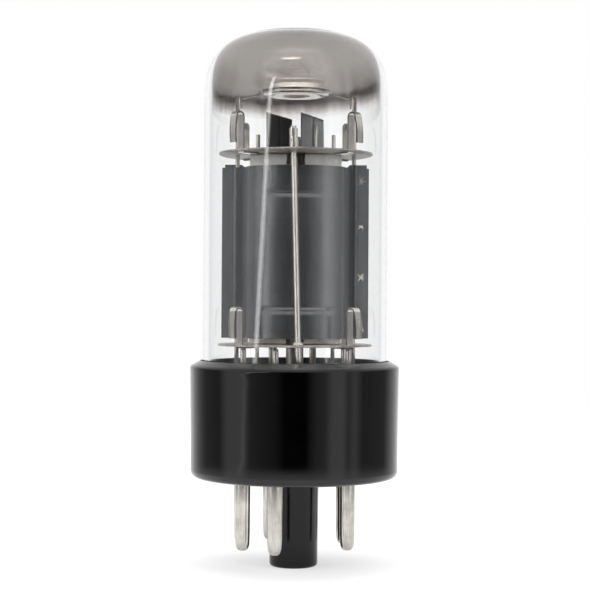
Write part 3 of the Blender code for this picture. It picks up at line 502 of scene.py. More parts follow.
def getter_film(mirrored):
    """The getter's deposit: a warm grey veil on the glass, browner towards its ragged lower edge.

    Its face to the glass is dull. Its inner face is a mirror within a soft oval at the front, for what
    is seen straight and not for what other gloss shows.
    """
    f = Finish("getter_mirror_face" if mirrored else "getter_glass_face")
    x = f.axis("X")
    z = f.axis("Z")
    drift = f.math("SUBTRACT", f.noise(70.0, 2.0, 0.5, f.stretched(1.0, 1.0, 0.1)), 0.5)
    ragged = f.math("SUBTRACT", f.noise(420.0, 5.0, 0.6, f.stretched(1.0, 1.0, 0.12)), 0.5)
    level = f.math("ADD", z, f.weighed(drift, 0.0012, ragged, 0.0018), f.math("MULTIPLY", x, FILM_SLOPE))
    share = f.span(level, FILM_BOTTOM_Z, FILM_BOTTOM_Z + FILM_EDGE, kind="LINEAR")
    front_tint = f.ramp(
        share,
        (0.0, (1.0, 1.0, 1.0)),
        (0.25, (0.97, 0.965, 0.96)),
        (0.50, (0.87, 0.855, 0.845)),
        (1.0, FILM_TINT),
    )
    rear_tint = f.ramp(
        share,
        (0.0, (1.0, 1.0, 1.0)),
        (0.20, (0.90, 0.885, 0.88)),
        (0.40, (0.66, 0.635, 0.625)),
        (0.50, (0.52, 0.49, 0.48)),
        (0.57, (0.37, 0.345, 0.335)),
        (0.68, (0.38, 0.355, 0.345)),
        (0.80, (0.72, 0.695, 0.68)),
        (1.0, FILM_TINT),
    )
    tint = f.mix(f.span(f.axis("Y"), -0.004, 0.002), front_tint, rear_tint)
    shine = FILM_MIRROR if mirrored else FILM_SHEEN
    opacity = f.ramp(share, (0.15, 0.0), (0.5, shine * 0.7), (1.0, shine))
    once = f.math("GREATER_THAN", f.path["Glossy Depth"], 0.5)
    twice = f.math("GREATER_THAN", f.path["Glossy Depth"], 1.5)
    passed = f.mix(twice, f.mix(once, tint, FILM_INWARD), WHITE)
    if mirrored:
        facing = f.math("SUBTRACT", 1.0, f.add("NewGeometry").outputs["Backfacing"])
        seen = f.math("MULTIPLY", facing, f.math("SUBTRACT", 1.0, once))
        aside = f.math("POWER", f.math("DIVIDE", f.math("ABSOLUTE", x), FILM_SPOT), 2.0)
        above = f.math("ABSOLUTE", f.math("SUBTRACT", z, FILM_SPOT_Z))
        above = f.math("POWER", f.math("DIVIDE", above, FILM_SPOT_HEIGHT), 2.0)
        bare = f.span(f.math("SQRT", f.math("ADD", aside, above)), 0.35, 1.15)
        passed = f.mix(f.math("MULTIPLY", bare, opacity, seen), passed, BLACK, "MULTIPLY")
        opacity = f.math("MULTIPLY", opacity, seen, f.math("SUBTRACT", 1.0, bare))
    shader = f.principled(
        Base_Color=f.ramp(share, (0.3, (0.42, 0.36, 0.33)), (1.0, (0.86, 0.83, 0.79))),
        Roughness=f.ramp(f.noise(300.0, 4.0), (0.3, 0.02), (0.8, 0.06)),
        Metallic=1.0,
    )
    return f.finish(f.blend(opacity, f.transparent(passed), shader))


def floor_finish():
    """White floor that keeps the shadow near the tube and runs out into the white round it."""
    f = Finish("white_floor")
    length = f.add("VectorMath", {"operation": "LENGTH"})
    f.fill(length.inputs[0], f.stretched(1.0, 1.0, 0.0))
    distance = length.outputs["Value"]
    cloud = f.ramp(f.noise(6.0), (0.3, 0.90), (0.7, 0.92))
    diffuse = f.add("BsdfDiffuse", Color=cloud).outputs["BSDF"]
    white = f.add("Emission", Color=WHITE, Strength=1.0).outputs["Emission"]
    ground = f.blend(f.span(distance, 0.05, 0.45, 0.55, 1.0), diffuse, white)
    gone = f.math("MULTIPLY", f.path["Is Glossy Ray"], f.span(distance, 0.06, 0.14))
    return f.finish(f.blend(gone, ground, f.transparent()))


def link(made):
    bpy.context.scene.collection.objects.link(made)
    return made


def add_piece(name, mesh, material, slot, *replaced):
    """An object that rides on the tube and stands for the solids named last."""
    made = link(bpy.data.objects.new(name, mesh))
    if not mesh.materials:
        mesh.materials.append(material)
    mesh.shade_smooth()
    mesh.set_sharp_from_angle(angle=radians(SMOOTH_ANGLE))
    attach(made, "root")
    if replaced:
        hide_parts(*replaced)
    return made


def give_materials(mesh, *materials):
    mesh.materials.clear()
    for material in materials:
        mesh.materials.append(material)


def from_work(work, mesh):
    """The mesh with what was worked out for it."""
    work.to_mesh(mesh)
    work.free()
    return mesh


def sheet_of(name, points, faces):
    mesh = bpy.data.meshes.new(name)
    mesh.from_pydata([tuple(point) for point in points], [], faces)
    return mesh


def mesh_of(name, points, faces):
    """A closed mesh with its faces turned outwards."""
    mesh = sheet_of(name, points, faces)
    work = bmesh.new()
    work.from_mesh(mesh)
    bmesh.ops.recalc_face_normals(work, faces=work.faces)
    return from_work(work, mesh)


def thicken(made, thickness):
    """A sheet's thickness, half to each side."""
    sheet = made.modifiers.new("sheet", "SOLIDIFY")
    sheet.thickness = thickness
    sheet.offset = 0
    return sheet


def baked(made):
    """The object's mesh with its modifiers applied."""
    graph = bpy.context.evaluated_depsgraph_get()
    return bpy.data.meshes.new_from_object(made.evaluated_get(graph))


def lattice(rows, columns, ring_of_rows=False, ring_of_columns=False):
    """Faces between rows of points. Rows, columns or both may close on themselves."""
    faces = []
    for row in range(rows if ring_of_rows else rows - 1):
        first = row * columns
        second = (row + 1) % rows * columns
        for column in range(columns if ring_of_columns else columns - 1):
            after = (column + 1) % columns
            faces.append((first + column, first + after, second + after, second + column))
    return faces


def soften(corners, steps=6):
    """A profile of (across, height, radius) corners, each rounded off by its radius."""
    points = []
    for index, (across, height, radius) in enumerate(corners):
        here = Vector((across, height))
        if radius == 0.0:
            points.append((across, height))
            continue
        before = Vector(corners[index - 1][:2]) - here
        after = Vector(corners[(index + 1) % len(corners)][:2]) - here
        start = here + before.normalized() * min(radius, before.length * 0.5)
        end = here + after.normalized() * min(radius, after.length * 0.5)
        for step in range(steps + 1):
            share = step / steps
            points.append(tuple(start.lerp(here, share).lerp(here.lerp(end, share), share)))
    return points


def turned(name, profile, steps=ROUND_STEPS, closed=False, centre=(0.0, 0.0)):
    """A mesh from a profile of (radius, height) points turned about a vertical axis."""
    points = []
    rings = []
    for radius, z in profile:
        first = len(points)
        if radius < 1e-7:
            points.append((centre[0], centre[1], z))
            rings.append([first])
            continue
        points += [(centre[0] + x, centre[1] + y, z) for x, y in circle(radius, steps)]
        rings.append(list(range(first, first + steps)))
    pairs = list(zip(rings, rings[1:]))
    if closed:
        pairs.append((rings[-1], rings[0]))
    faces = []
    for high, low in pairs:
        for step in range(steps):
            after = (step + 1) % steps
            corners = [high[step % len(high)], low[step % len(low)]]
            corners += [low[after % len(low)], high[after % len(high)]]
            corners = tuple(dict.fromkeys(corners))
            if len(corners) > 2:
                faces.append(corners)
    return mesh_of(name, points, faces)


def swept(name, path, section, across=None):
    """A closed section of (across, out) points carried along a path, with flat ends.

    With across given, the section keeps that direction. Otherwise it turns as little as it can.
    """
    path = [Vector(point) for point in path]
    count = len(path)
    sides = len(section)
    side = Vector(across).normalized() if across else None
    points = []
    for index, here in enumerate(path):
        ahead = path[index + 1] if index + 1 < count else here
        behind = path[index - 1] if index else here
        along = (ahead - behind).normalized()
        if across:
            out = along.cross(side).normalized()
        else:
            if side is None:
                side = along.orthogonal().normalized()
            side = (side - along * side.dot(along)).normalized()
            out = along.cross(side)
        points += [here + side * u + out * v for u, v in section]
    ends = [tuple(range(sides)), tuple(range((count - 1) * sides, count * sides))]
    return mesh_of(name, points, lattice(count, sides, ring_of_columns=True) + ends)


def circle(radius, sides=WIRE_SIDES):
    angles = [2 * pi * step / sides for step in range(sides)]
    return [(radius * cos(angle), radius * sin(angle)) for angle in angles]


def flat_section(width, thickness, edge=0.3):
    """A strip's section with its edges cut off, from one corner round to the first again."""
    half = width / 2
    lift = thickness / 2
    inset = thickness * edge
    lower = [(-half, -lift + inset), (-half + inset, -lift), (half - inset, -lift), (half, -lift + inset)]
    return lower + [(-u, -v) for u, v in lower]


def joined(name, meshes):
    """One mesh of several."""
    work = bmesh.new()
    for mesh in meshes:
        work.from_mesh(mesh)
        bpy.data.meshes.remove(mesh)
    return from_work(work, bpy.data.meshes.new(name))


def cut(mesh, cutter, operation="DIFFERENCE"):
    """The mesh after a Boolean with another."""
    body = link(bpy.data.objects.new("body", mesh))
    tool = link(bpy.data.objects.new("tool", cutter))
    change = body.modifiers.new("cut", "BOOLEAN")
    change.operation = operation
    change.solver = "EXACT"
    change.object = tool
    result = baked(body)
    result.name = mesh.name
    for made in (body, tool):
        bpy.data.objects.remove(made, do_unlink=True)
    return result


def block(centre, size, turn=0.0, bevel=0.0):
    """A box turned about Z, with its edges bevelled."""
    work = bmesh.new()
    matrix = Matrix.Translation(centre) @ Matrix.Rotation(radians(turn), 4, "Z")
    bmesh.ops.create_cube(work, size=1.0, matrix=matrix @ Matrix.Diagonal((*size, 1)))
    if bevel:
        bmesh.ops.bevel(work, geom=work.edges[:], offset=bevel, segments=3, affect="EDGES", profile=0.5)
    return from_work(work, bpy.data.meshes.new("block"))


def rod(name, radius, low_z, high_z, centre, rounding=ROD_ROUND, steps=ROD_STEPS):
    """An upright rod or disc with rounded ends."""
    corners = [(0.0, high_z, 0.0), (radius, high_z, rounding), (radius, low_z, rounding), (0.0, low_z, 0.0)]
    return turned(name, soften(corners, 3), steps, centre=centre)


def hole(place, low, high, radius, sides=HOLE_SIDES):
    """What cuts an upright round hole."""
    return swept("hole", [(place[0], place[1], low), (place[0], place[1], high)], circle(radius, sides))


def centre_of(node):
    low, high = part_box(node)
    return (low + high) / 2


def around(angle, radius, z=0.0):
    return Vector((radius * cos(radians(angle)), radius * sin(radians(angle)), z))


def make_base(finish, key_finish):
    """The moulded cup and hollow key, with its rib and the holes that its pins pass through."""
    top = BASE_HIGH.x
    top_z = BASE_HIGH.z
    body = top - BASE_BODY_INSET
    bore = body - BASE_WALL
    floor_z = SEAT_Z + BASE_FLOOR
    corners = [
        (0.0, KEY_END_THICKNESS, 0.0),
        (KEY_BORE_RADIUS, KEY_END_THICKNESS, 0.0003),
        (KEY_BORE_RADIUS, floor_z, 0.0002),
        (bore, floor_z, 0.0004),
        (bore, top_z, 0.00015),
        (top, top_z - BASE_TOP_SLOPE, BASE_RIM_ROUND),
        (top - 0.00005, top_z - BASE_TOP_SLOPE - 0.0012, 0.0004),
        (body, SEAT_Z + 0.006, 0.002),
        (body, SEAT_Z, BASE_LOWER_ROUND),
        (KEY_RADIUS, SEAT_Z, 0.0003),
        (KEY_RADIUS - 0.0001, 0.0, KEY_END_ROUND),
        (0.0, 0.0, 0.0),
    ]
    mesh = turned("base_moulding", soften(corners))
    rib_inner = (KEY_BORE_RADIUS + KEY_RADIUS) / 2
    rib_outer = KEY_RADIUS + RIB_REACH
    rib_high = SEAT_Z + BASE_FLOOR / 2
    centre = around(RIB_ANGLE, (rib_inner + rib_outer) / 2, (KEY_END_ROUND + rib_high) / 2)
    size = (rib_outer - rib_inner, RIB_WIDTH, rib_high - KEY_END_ROUND)
    mesh = cut(mesh, block(centre, size, RIB_ANGLE, RIB_BEVEL), "UNION")
    low = SEAT_Z - BASE_FLOOR
    high = floor_z + BASE_FLOOR
    holes = []
    for number in PIN_NUMBERS:
        holes.append(hole(centre_of(f"pin_{number}"), low, high, PIN_RADIUS + PIN_HOLE_GAP, FINE_STEPS))
    mesh = cut(mesh, joined("holes", holes))
    give_materials(mesh, finish, key_finish)
    for face in mesh.polygons:
        below = face.center.z < SEAT_Z - KEY_FINISH_TOP_GAP
        on_key = below and face.center.xy.length < rib_outer + KEY_FINISH_MARGIN
        face.material_index = int(on_key)
    add_piece("base_moulding", mesh, finish, "base_plastic", "base_shell")


def make_pins(finish):
    """Plated pins with a soft shoulder, a slight taper and a rounded soldered tip."""
    low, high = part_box("pin_1")
    radius = PIN_RADIUS
    for number in PIN_NUMBERS:
        wobble = PIN_UNEVENNESS * sin(number * 2.3)
        corners = [
            (0.0, high.z - 0.0002, 0.0),
            (0.00045, high.z - 0.0002, 0.0001),
            (0.00065, high.z, 0.0001),
            (PIN_HEAD_RADIUS, high.z, 0.0001),
            (PIN_HEAD_RADIUS, high.z - PIN_HEAD_HEIGHT, 0.0001),
            (radius, high.z - PIN_HEAD_HEIGHT, 0.0001),
            (radius, SEAT_Z - 0.0004, 0.0001),
            (radius - 0.00003, low.z + 0.0030, 0.0004),
            (radius - 0.00005, low.z + 0.0021, 0.0003),
            (radius - 0.00009 + wobble, low.z + 0.00085, 0.0006),
            (radius * 0.62, low.z + 0.00012, 0.0005),
            (0.0, low.z, 0.0),
        ]
        name = f"contact_pin_{number}"
        mesh = turned(name, soften(corners), FINE_STEPS, centre=centre_of(f"pin_{number}"))
        add_piece(name, mesh, finish, "pin_metal", f"pin_{number}")


def dome(radius, height, steps, squareness):
    """A dome's profile from its crown down, as a superellipse."""
    power = 2 / squareness
    points = []
    for step in range(steps + 1):
        angle = radians(90 - 90 * step / steps)
        across = radius * max(0.0, cos(angle)) ** power if step else 0.0
        points.append((across, DOME_Z + height * max(0.0, sin(angle)) ** power))
    return points


def shoulder_radius(z):
    """The bulb's radius where it draws in towards its foot."""
    fall = min(1.0, max(0.0, (BULB_LOW.z + SHOULDER_HEIGHT - z) / SHOULDER_HEIGHT))
    return BULB_RADIUS - SHOULDER_INSET * (1 - sqrt(1 - fall**2))


def make_bulb(finish):
    """The bulb as one blown shell, with its foot fire-polished."""
    heights = [BASE_HIGH.z + 0.003]
    for step in range(SHOULDER_STEPS + 1):
        rise = 1 - sin(pi / 2 * step / SHOULDER_STEPS)
        heights.append(BULB_LOW.z + SHOULDER_HEIGHT * rise)
    sides = [DOME_Z + (heights[0] - DOME_Z) * step / 12 for step in range(1, 12)]
    outer = dome(BULB_RADIUS, DOME_HEIGHT, DOME_STEPS, DOME_SQUARENESS)
    outer += [(BULB_RADIUS, z) for z in sides] + [(shoulder_radius(z), z) for z in heights]
    inner_radius = BULB_RADIUS - BULB_WALL
    inner = dome(inner_radius, DOME_HEIGHT - DOME_WALL, DOME_STEPS, INNER_DOME_SQUARENESS)
    inner += [(inner_radius, z) for z in sides] + [(shoulder_radius(z) - BULB_WALL, z) for z in heights]
    mesh = turned("bulb_envelope", outer + inner[::-1])
    add_piece("bulb_envelope", mesh, finish, "clear_glass", "glass_bulb")


def film_side(gap):
    """A side of the film, at its gap from the glass."""
    radius = BULB_RADIUS - BULB_WALL - gap
    height = DOME_HEIGHT - DOME_WALL - gap
    return dome(radius, height, FILM_STEPS, INNER_DOME_SQUARENESS) + [(radius, FILM_BOTTOM_Z)]


def make_film(outside, inside):
    """The mirror on the inside of the dome, as a thin skin."""
    mesh = turned("getter_mirror", film_side(FILM_GAP) + film_side(FILM_GAP + FILM_THICKNESS)[::-1])
    give_materials(mesh, outside, inside)
    middle = Vector((0.0, 0.0, DOME_Z))
    for face in mesh.polygons:
        face.material_index = int(face.normal.dot(face.center - middle) < 0)
    add_piece("getter_mirror", mesh, outside, "getter_mirror", "getter_film")


def make_stem(finish):
    """The pressed button with a raised bead round each lead, and the pinched exhaust tip under it."""
    low_z = STEM_LOW.z
    foot_z = BULB_LOW.z
    top_z = STEM_HIGH.z
    corners = [
        (0.0, low_z + 0.0022, 0.0),
        (0.0012, low_z + 0.0024, 0.0006),
        (0.0012, top_z, 0.0004),
        (STEM_HIGH.x, top_z, 0.0006),
        (STEM_HIGH.x, foot_z, 0.0006),
        (0.0021, foot_z, 0.0006),
        (0.0021, low_z + 0.0026, 0.0012),
        (0.0009, low_z + 0.0004, 0.0004),
        (0.0, low_z, 0.0),
    ]
    bead = soften([
        (0.00052, top_z + 0.0008, 0.0),
        (0.00062, top_z + 0.0008, 0.0001),
        (0.0012, top_z + 0.00005, 0.0004),
        (0.0012, top_z - 0.0002, 0.0),
        (0.00052, top_z - 0.0002, 0.0),
    ])
    meshes = [turned("stem", soften(corners), 72)]
    for number in PIN_NUMBERS:
        meshes.append(turned("bead", bead, 28, closed=True, centre=centre_of(f"stem_lead_{number}")))
    add_piece("stem_button", joined("stem_button", meshes), finish, "clear_glass", "button_stem")


def make_cement(finish):
    """The ring that fills the gap between bulb and base, with an uneven lower face."""
    low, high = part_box("base_cement")
    heights = [low.z + (high.z - low.z) * step / 8 for step in range(9)]
    inner = [(shoulder_radius(z) + CEMENT_GAP, z) for z in heights]
    mesh = turned("cement_ring", [(high.x, high.z), (high.x, low.z)] + inner, closed=True)
    for vertex in mesh.vertices:
        if abs(vertex.co.z - low.z) < 0.00005:
            vertex.co.z += 0.0004 * (noise.noise(vertex.co * 900.0) * 0.5 + 0.5)
    add_piece("cement_ring", mesh, finish, "cement", "base_cement")


def mica_cutters(low_z, high_z):
    """What passes through a mica: rods, the cathode and the springs' slots."""
    low = low_z - 0.001
    high = high_z + 0.001
    cutters = []
    for node in ("plate_rod_left", "plate_rod_right"):
        place = centre_of(node)
        cutters.append(hole(place, low, high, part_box(node)[1].x - place.x + MICA_HOLE_GAP))
    for node, (radius, pitch) in GRIDS.items():
        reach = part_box(node)[1].x - radius
        for side in (-1, 1):
            cutters.append(hole((side * reach, 0.0), low, high, radius + MICA_HOLE_GAP))
    for node in ("tie_rod_front", "tie_rod_rear"):
        foot, top = tie_rod_ends(node)
        place = foot.lerp(top, (low_z - foot.z) / (top.z - foot.z))
        cutters.append(hole(place, low, high, TIE_ROD_RADIUS + MICA_HOLE_GAP))
    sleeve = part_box("cathode_sleeve")[1]
    wide = sleeve.x + MICA_HOLE_GAP
    deep = sleeve.y + MICA_HOLE_GAP
    oval = [(-deep * y, wide * x) for x, y in circle(1.0, 28)]
    cutters.append(swept("hole", [(0, 0, low), (0, 0, high)], oval, across=(0, 1, 0)))
    size = (SPRING_SHEET + SPRING_SLOT_GAP, SPRING_WIDTH + SPRING_SLOT_GAP, high - low)
    for angle in SPRING_ANGLES.values():
        cutters.append(block(around(angle, SPRING_PLACE, (low + high) / 2), size, angle))
    return joined("cutters", cutters)


def make_mica(level, finish):
    """A punched disc with a slightly rough edge."""
    node = f"{level}_mica"
    low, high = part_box(node)
    mesh = rod(f"{node}_disc", high.x, low.z, high.z, (0.0, 0.0), MICA_ROUND, 180)
    for vertex in mesh.vertices:
        if vertex.co.xy.length > high.x - 0.0005:
            nick = 1 - MICA_NICK * max(0.0, noise.noise(Vector((vertex.co.x, vertex.co.y, 0)) * 1400.0))
            vertex.co.x *= nick
            vertex.co.y *= nick
    mesh = cut(mesh, mica_cutters(low.z, high.z))
    mesh.materials.clear()
    add_piece(f"{node}_disc", mesh, finish, "mica", node)


def spring_line(side, low_z, high_z, tip_z):
    """A spring from the side: its foot, the leg up, the bend and the leg against the glass."""
    heel = SPRING_HEEL_RADIUS
    foot_z = low_z + SPRING_SHEET / 2 + SPRING_FOOT_GAP
    bend_z = high_z - SPRING_SHEET / 2 - SPRING_BEND_RADIUS - SPRING_RIB
    glass_radius = BULB_RADIUS - BULB_WALL - SPRING_GLASS_GAP
    tip = sqrt(glass_radius**2 - (SPRING_WIDTH / 2) ** 2) - SPRING_SHEET - SPRING_RIB
    line = [(SPRING_PLACE - SPRING_FOOT, foot_z)]
    for step in range(7):
        turn = radians(90 * step / 6)
        line.append((SPRING_PLACE - heel + heel * sin(turn), foot_z + heel * (1 - cos(turn))))
    for step in range(1, 8):
        line.append((SPRING_PLACE, foot_z + heel + (bend_z - foot_z - heel) * step / 8))
    for step in range(17):
        turn = radians(180 - 180 * step / 16)
        across = SPRING_PLACE + SPRING_BEND_RADIUS * (1 + cos(turn))
        line.append((across, bend_z + SPRING_BEND_RADIUS * sin(turn)))
    start = line[-1]
    end = (start[0] + (tip - start[0]) * SPRING_SPLAY[side], tip_z)
    for step in range(1, 11):
        share = step / 10
        bow = SPRING_BOW * sin(pi * share)
        line.append((start[0] + (end[0] - start[0]) * share + bow, start[1] + (end[1] - start[1]) * share))
    return line


def spring_section():
    """A strip with a raised rib along each edge, on its inner side."""
    lift = SPRING_SHEET / 2
    half = SPRING_WIDTH / 2
    rib = half - SPRING_RIB_WIDTH
    right = [
        (half, -lift),
        (half, lift + SPRING_RIB * 0.5),
        (half - SPRING_RIB_SLANT, lift + SPRING_RIB),
        (rib + SPRING_RIB_SLANT * 2 / 3, lift + SPRING_RIB),
        (rib - SPRING_RIB_SLANT, lift),
    ]
    left = [(-u, v) for u, v in right[::-1]]
    return [left[-1]] + right + left[:-1]


def make_springs(level, finish, painted_edge_shade):
    """Springs bent from ribbed strip, with their narrow edges painted near-black as shade."""
    tip_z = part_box(f"{level}_mica")[1].z + SPRING_TIP_LIFT
    for side, angle in SPRING_ANGLES.items():
        node = f"{level}_spring_{side}"
        low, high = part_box(node)
        way = around(angle + 90, 1.0)
        path = [around(angle, across, z) for across, z in spring_line(side, low.z, high.z, tip_z)]
        mesh = swept(node, path, spring_section(), across=way)
        give_materials(mesh, finish, painted_edge_shade)
        # Faces that look across the strip's width, its narrow edges, take the second finish: painted shade
        # that draws them dark
        for face in mesh.polygons:
            face.material_index = int(abs(face.normal.dot(way)) > 0.8)
        add_piece(f"{level}_hairpin_{side}", mesh, finish, "nickel", node)


def superoval(half_width, half_depth, squareness, start, end, steps):
    """Points of a superellipse from above, spread evenly enough for tight corners."""
    power = 2 / squareness
    points = []
    for step in range(steps + 1):
        angle = radians(start + (end - start) * step / steps)
        across = copysign(abs(cos(angle)) ** power, cos(angle))
        along = copysign(abs(sin(angle)) ** power, sin(angle))
        points.append((half_width * across, half_depth * along))
    return points


def plate_outline():
    """The front half from above: a wing, the channel of a rod, the bowed side, and the same again."""
    low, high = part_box("plate_rod_right")
    rod_x = (low.x + high.x) / 2
    wing_y = (PLATE_SHEET + WING_SEAM) / 2
    channel = (high.x - low.x) / 2 + PLATE_ROD_GAP + PLATE_SHEET / 2
    start = degrees(asin(wing_y / channel))
    arc = superoval(channel, channel, 2, 180 + start, 360 - start, 14)
    half_width = rod_x - PLATE_SHOULDER
    half_depth = -PLATE_LOW.y - PLATE_SHEET / 2
    side = superoval(half_width, half_depth, PLATE_SQUARENESS, 183, 357, 72)
    side[0] = (side[0][0], -wing_y)
    side[-1] = (side[-1][0], -wing_y)
    left = [(x - rod_x, y) for x, y in arc]
    right = [(x + rod_x, y) for x, y in arc]
    return [(PLATE_LOW.x, -wing_y), *left, *side, *right, (PLATE_HIGH.x, -wing_y)], half_width


def bead_sink(z):
    """How far the beads across the plate's ends sink its sheet at a height."""
    sink = 0.0
    for bead_z in (PLATE_LOW.z + BEAD_INSET, PLATE_TOP_Z - BEAD_INSET):
        reach = abs(z - bead_z) / (BEAD_HEIGHT / 2)
        if reach < 1:
            sink += BEAD_DEPTH * (0.5 + 0.5 * cos(pi * reach))
    return sink


def make_plate(finish, bare):
    """Two pressed halves, with a bead across each end and the stakes that hold their wings together."""
    outline, half_width = plate_outline()
    points = []
    for level in range(PLATE_LEVELS + 1):
        z = PLATE_LOW.z + (PLATE_TOP_Z - PLATE_LOW.z) * level / PLATE_LEVELS
        for x, y in outline:
            fade = max(0.0, min(1.0, (half_width * 0.86 - abs(x)) / (half_width * 0.12)))
            lift = NARROW_WING_RISE if level == PLATE_LEVELS and x > half_width else 0.0
            bow = PLATE_BOW * noise.noise(Vector((x * 90, z * 60, 3.1)))
            points.append((x, y + bead_sink(z) * fade + bow * fade, z + lift))
    mesh = sheet_of("plate_half", points, lattice(PLATE_LEVELS + 1, len(outline)))
    give_materials(mesh, finish, bare)
    solid = link(bpy.data.objects.new("plate_sheet", mesh))
    thicken(solid, PLATE_SHEET).use_even_offset = True
    body = baked(solid)
    bpy.data.objects.remove(solid, do_unlink=True)
    wing_face = -(PLATE_SHEET + WING_SEAM / 2)
    lugs = [stake_lug(STAKE_X, wing_face, z, index) for index, z in enumerate(STAKE_PLACES)]
    work = bmesh.new()
    work.from_mesh(body)
    first = len(work.faces)
    work.from_mesh(joined("stakes", lugs))
    work.faces.ensure_lookup_table()
    for face in work.faces[first:]:
        face.material_index = 1
    from_work(work, body)
    add_piece("plate_half_front", body, finish, "carbonised_metal", "plate_front")
    rear = body.copy()
    rear.transform(Matrix.Rotation(pi, 4, "Z"))
    add_piece("plate_half_rear", rear, finish, "carbonised_metal", "plate_rear")


def stake_lug(x, y, z, seed):
    """A clinched spot on the wing's face: short ridges that cross each other at odd angles."""
    ridges = []
    for stroke in range(STAKE_STROKES):
        place = Vector((seed * 3.7, stroke * 5.3, 0.5))
        lean = radians(180 * stroke / STAKE_STROKES + 50 * noise.noise(place))
        aside = noise.noise(place + Vector((9, 0, 0)))
        above = noise.noise(place + Vector((0, 9, 0)))
        reach = STAKE_RADIUS * (1 + 0.6 * noise.noise(place + Vector((0, 0, 9))))
        along = Vector((cos(lean), 0, sin(lean) * 1.2))
        middle = Vector((x, y, z)) + Vector((aside, 0, above)) * STAKE_SCATTER
        ends = [middle + along * reach * share for share in (-1.0, -0.4, 0.3, 1.0)]
        ends[1].z += STAKE_LIFT
        ridges.append(swept("ridge", ends, circle(STAKE_LIFT, 6)))
    return joined("lug", ridges)


def make_plate_rods(finish):
    for side in ("left", "right"):
        node = f"plate_rod_{side}"
        low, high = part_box(node)
        mesh = rod(node, (high.x - low.x) / 2, low.z, high.z, centre_of(node))
        add_piece(f"anode_rod_{side}", mesh, finish, "nickel", node)


def tie_rod_ends(node):
    """The rod's foot and top: it leans across the tube between opposite corners of its box."""
    low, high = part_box(node)
    y = (low.y + high.y) / 2
    radius = (high.y - low.y) / 2
    right = high.x - radius
    left = low.x + radius
    foot_x, top_x = (right, left) if y < 0 else (left, right)
    return Vector((foot_x, y, low.z)), Vector((top_x, y, high.z))


def make_tie_rods(finish, clip_finish):
    """A leaning rod front and back, with a seam, a collar on the lower mica and a crimped clip on top."""
    mica_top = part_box("lower_mica")[1].z
    for side, out in (("front", -1), ("rear", 1)):
        node = f"tie_rod_{side}"
        foot, top = tie_rod_ends(node)
        foot.z += TIE_ROD_END_GAP
        top.z -= TIE_ROD_END_GAP
        radius = (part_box(node)[1].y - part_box(node)[0].y) / 2
        path = [foot.lerp(top, step / 24) for step in range(25)]
        place = foot.lerp(top, (mica_top - foot.z) / (top.z - foot.z))
        collar = soften([
            (radius + COLLAR_GAP, mica_top + 0.00045, 0.0),
            (radius + 0.0002, mica_top + 0.00045, 0.0001),
            (radius + 0.00045, mica_top + 0.00004, 0.0001),
            (radius + COLLAR_GAP, mica_top + 0.00004, 0.0),
        ])
        meshes = [
            swept(node, path, seam_section(radius, out), across=(1, 0, 0)),
            turned("collar", collar, 28, closed=True, centre=place),
        ]
        add_piece(f"support_rod_{side}", joined(node, meshes), finish, "nickel", node)
        make_crimp(side, foot, top, radius, clip_finish)


def seam_section(radius, out):
    """A rod rolled from strip: round, with a shallow seam that faces outwards."""
    points = []
    for across, depth in circle(1.0, 48):
        # On an upright path, a section's second direction points to -Y
        faces_out = depth * out > 0
        dip = SEAM_DEPTH * exp(-((across / SEAM_WIDTH) ** 4)) if faces_out else 0.0
        points.append((radius * across, radius * depth * (1 - dip)))
    return points


def make_crimp(side, foot, top, radius, finish):
    """A strip folded round the rod's top and slightly pinched."""
    node = f"tie_crimp_{side}"
    low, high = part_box(node)
    inner = radius + CRIMP_GAP
    inner_rows = []
    outer_rows = []
    for level in range(CRIMP_LEVELS + 1):
        share = level / CRIMP_LEVELS
        z = low.z + 0.00004 + (high.z - low.z - 0.00008) * share
        place = foot.lerp(top, (z - foot.z) / (top.z - foot.z))
        pinch = 1 - 0.05 * exp(-(((share - 0.55) / 0.2) ** 2))
        inner_rows.append((inner, place, z))
        outer_rows.append((pinch * (inner + CRIMP_WALL), place, z))
    rows = outer_rows[::-1] + inner_rows
    points = []
    for reach, place, z in rows:
        for x, y in circle(1.0, CRIMP_STEPS):
            flat = reach * (1 - 0.06 * abs(x * x - y * y))
            points.append((place.x + flat * x, place.y + flat * y, z))
    mesh = mesh_of(node, points, lattice(len(rows), CRIMP_STEPS, True, True))
    add_piece(f"rod_clip_{side}", mesh, finish, "nickel", node)


def make_grid(node, rod_radius, pitch, finish):
    """A fine wire wound on two rods."""
    low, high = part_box(node)
    half_width = high.x - rod_radius
    half_depth = high.y - GRID_DEPTH_GAP
    start = PLATE_LOW.z + GRID_END_GAP
    end = PLATE_TOP_Z - GRID_END_GAP
    path = []
    for step in range(int((end - start) / pitch * GRID_TURN_STEPS) + 1):
        turns = step / GRID_TURN_STEPS
        angle = 2 * pi * turns
        path.append((half_width * cos(angle), half_depth * sin(angle), start + pitch * turns))
    meshes = [swept("winding", path, circle(GRID_WIRE_RADIUS, 6))]
    for side in (-1, 1):
        meshes.append(rod("rod", rod_radius, low.z, high.z, (side * half_width, 0.0)))
    add_piece(f"{node}_wound", joined(node, meshes), finish, "nickel", node)


def make_cathode(finish):
    """The oval sleeve, open at both ends."""
    low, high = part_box("cathode_sleeve")
    points = []
    for z, inset in ((high.z, 0.0), (low.z, 0.0), (low.z, CATHODE_WALL), (high.z, CATHODE_WALL)):
        points += [((high.x - inset) * x, (high.y - inset) * y, z) for x, y in circle(1.0, 48)]
    mesh = mesh_of("cathode_tube", points, lattice(4, 48, True, True))
    add_piece("cathode_tube", mesh, finish, "cathode_coating", "cathode_sleeve")


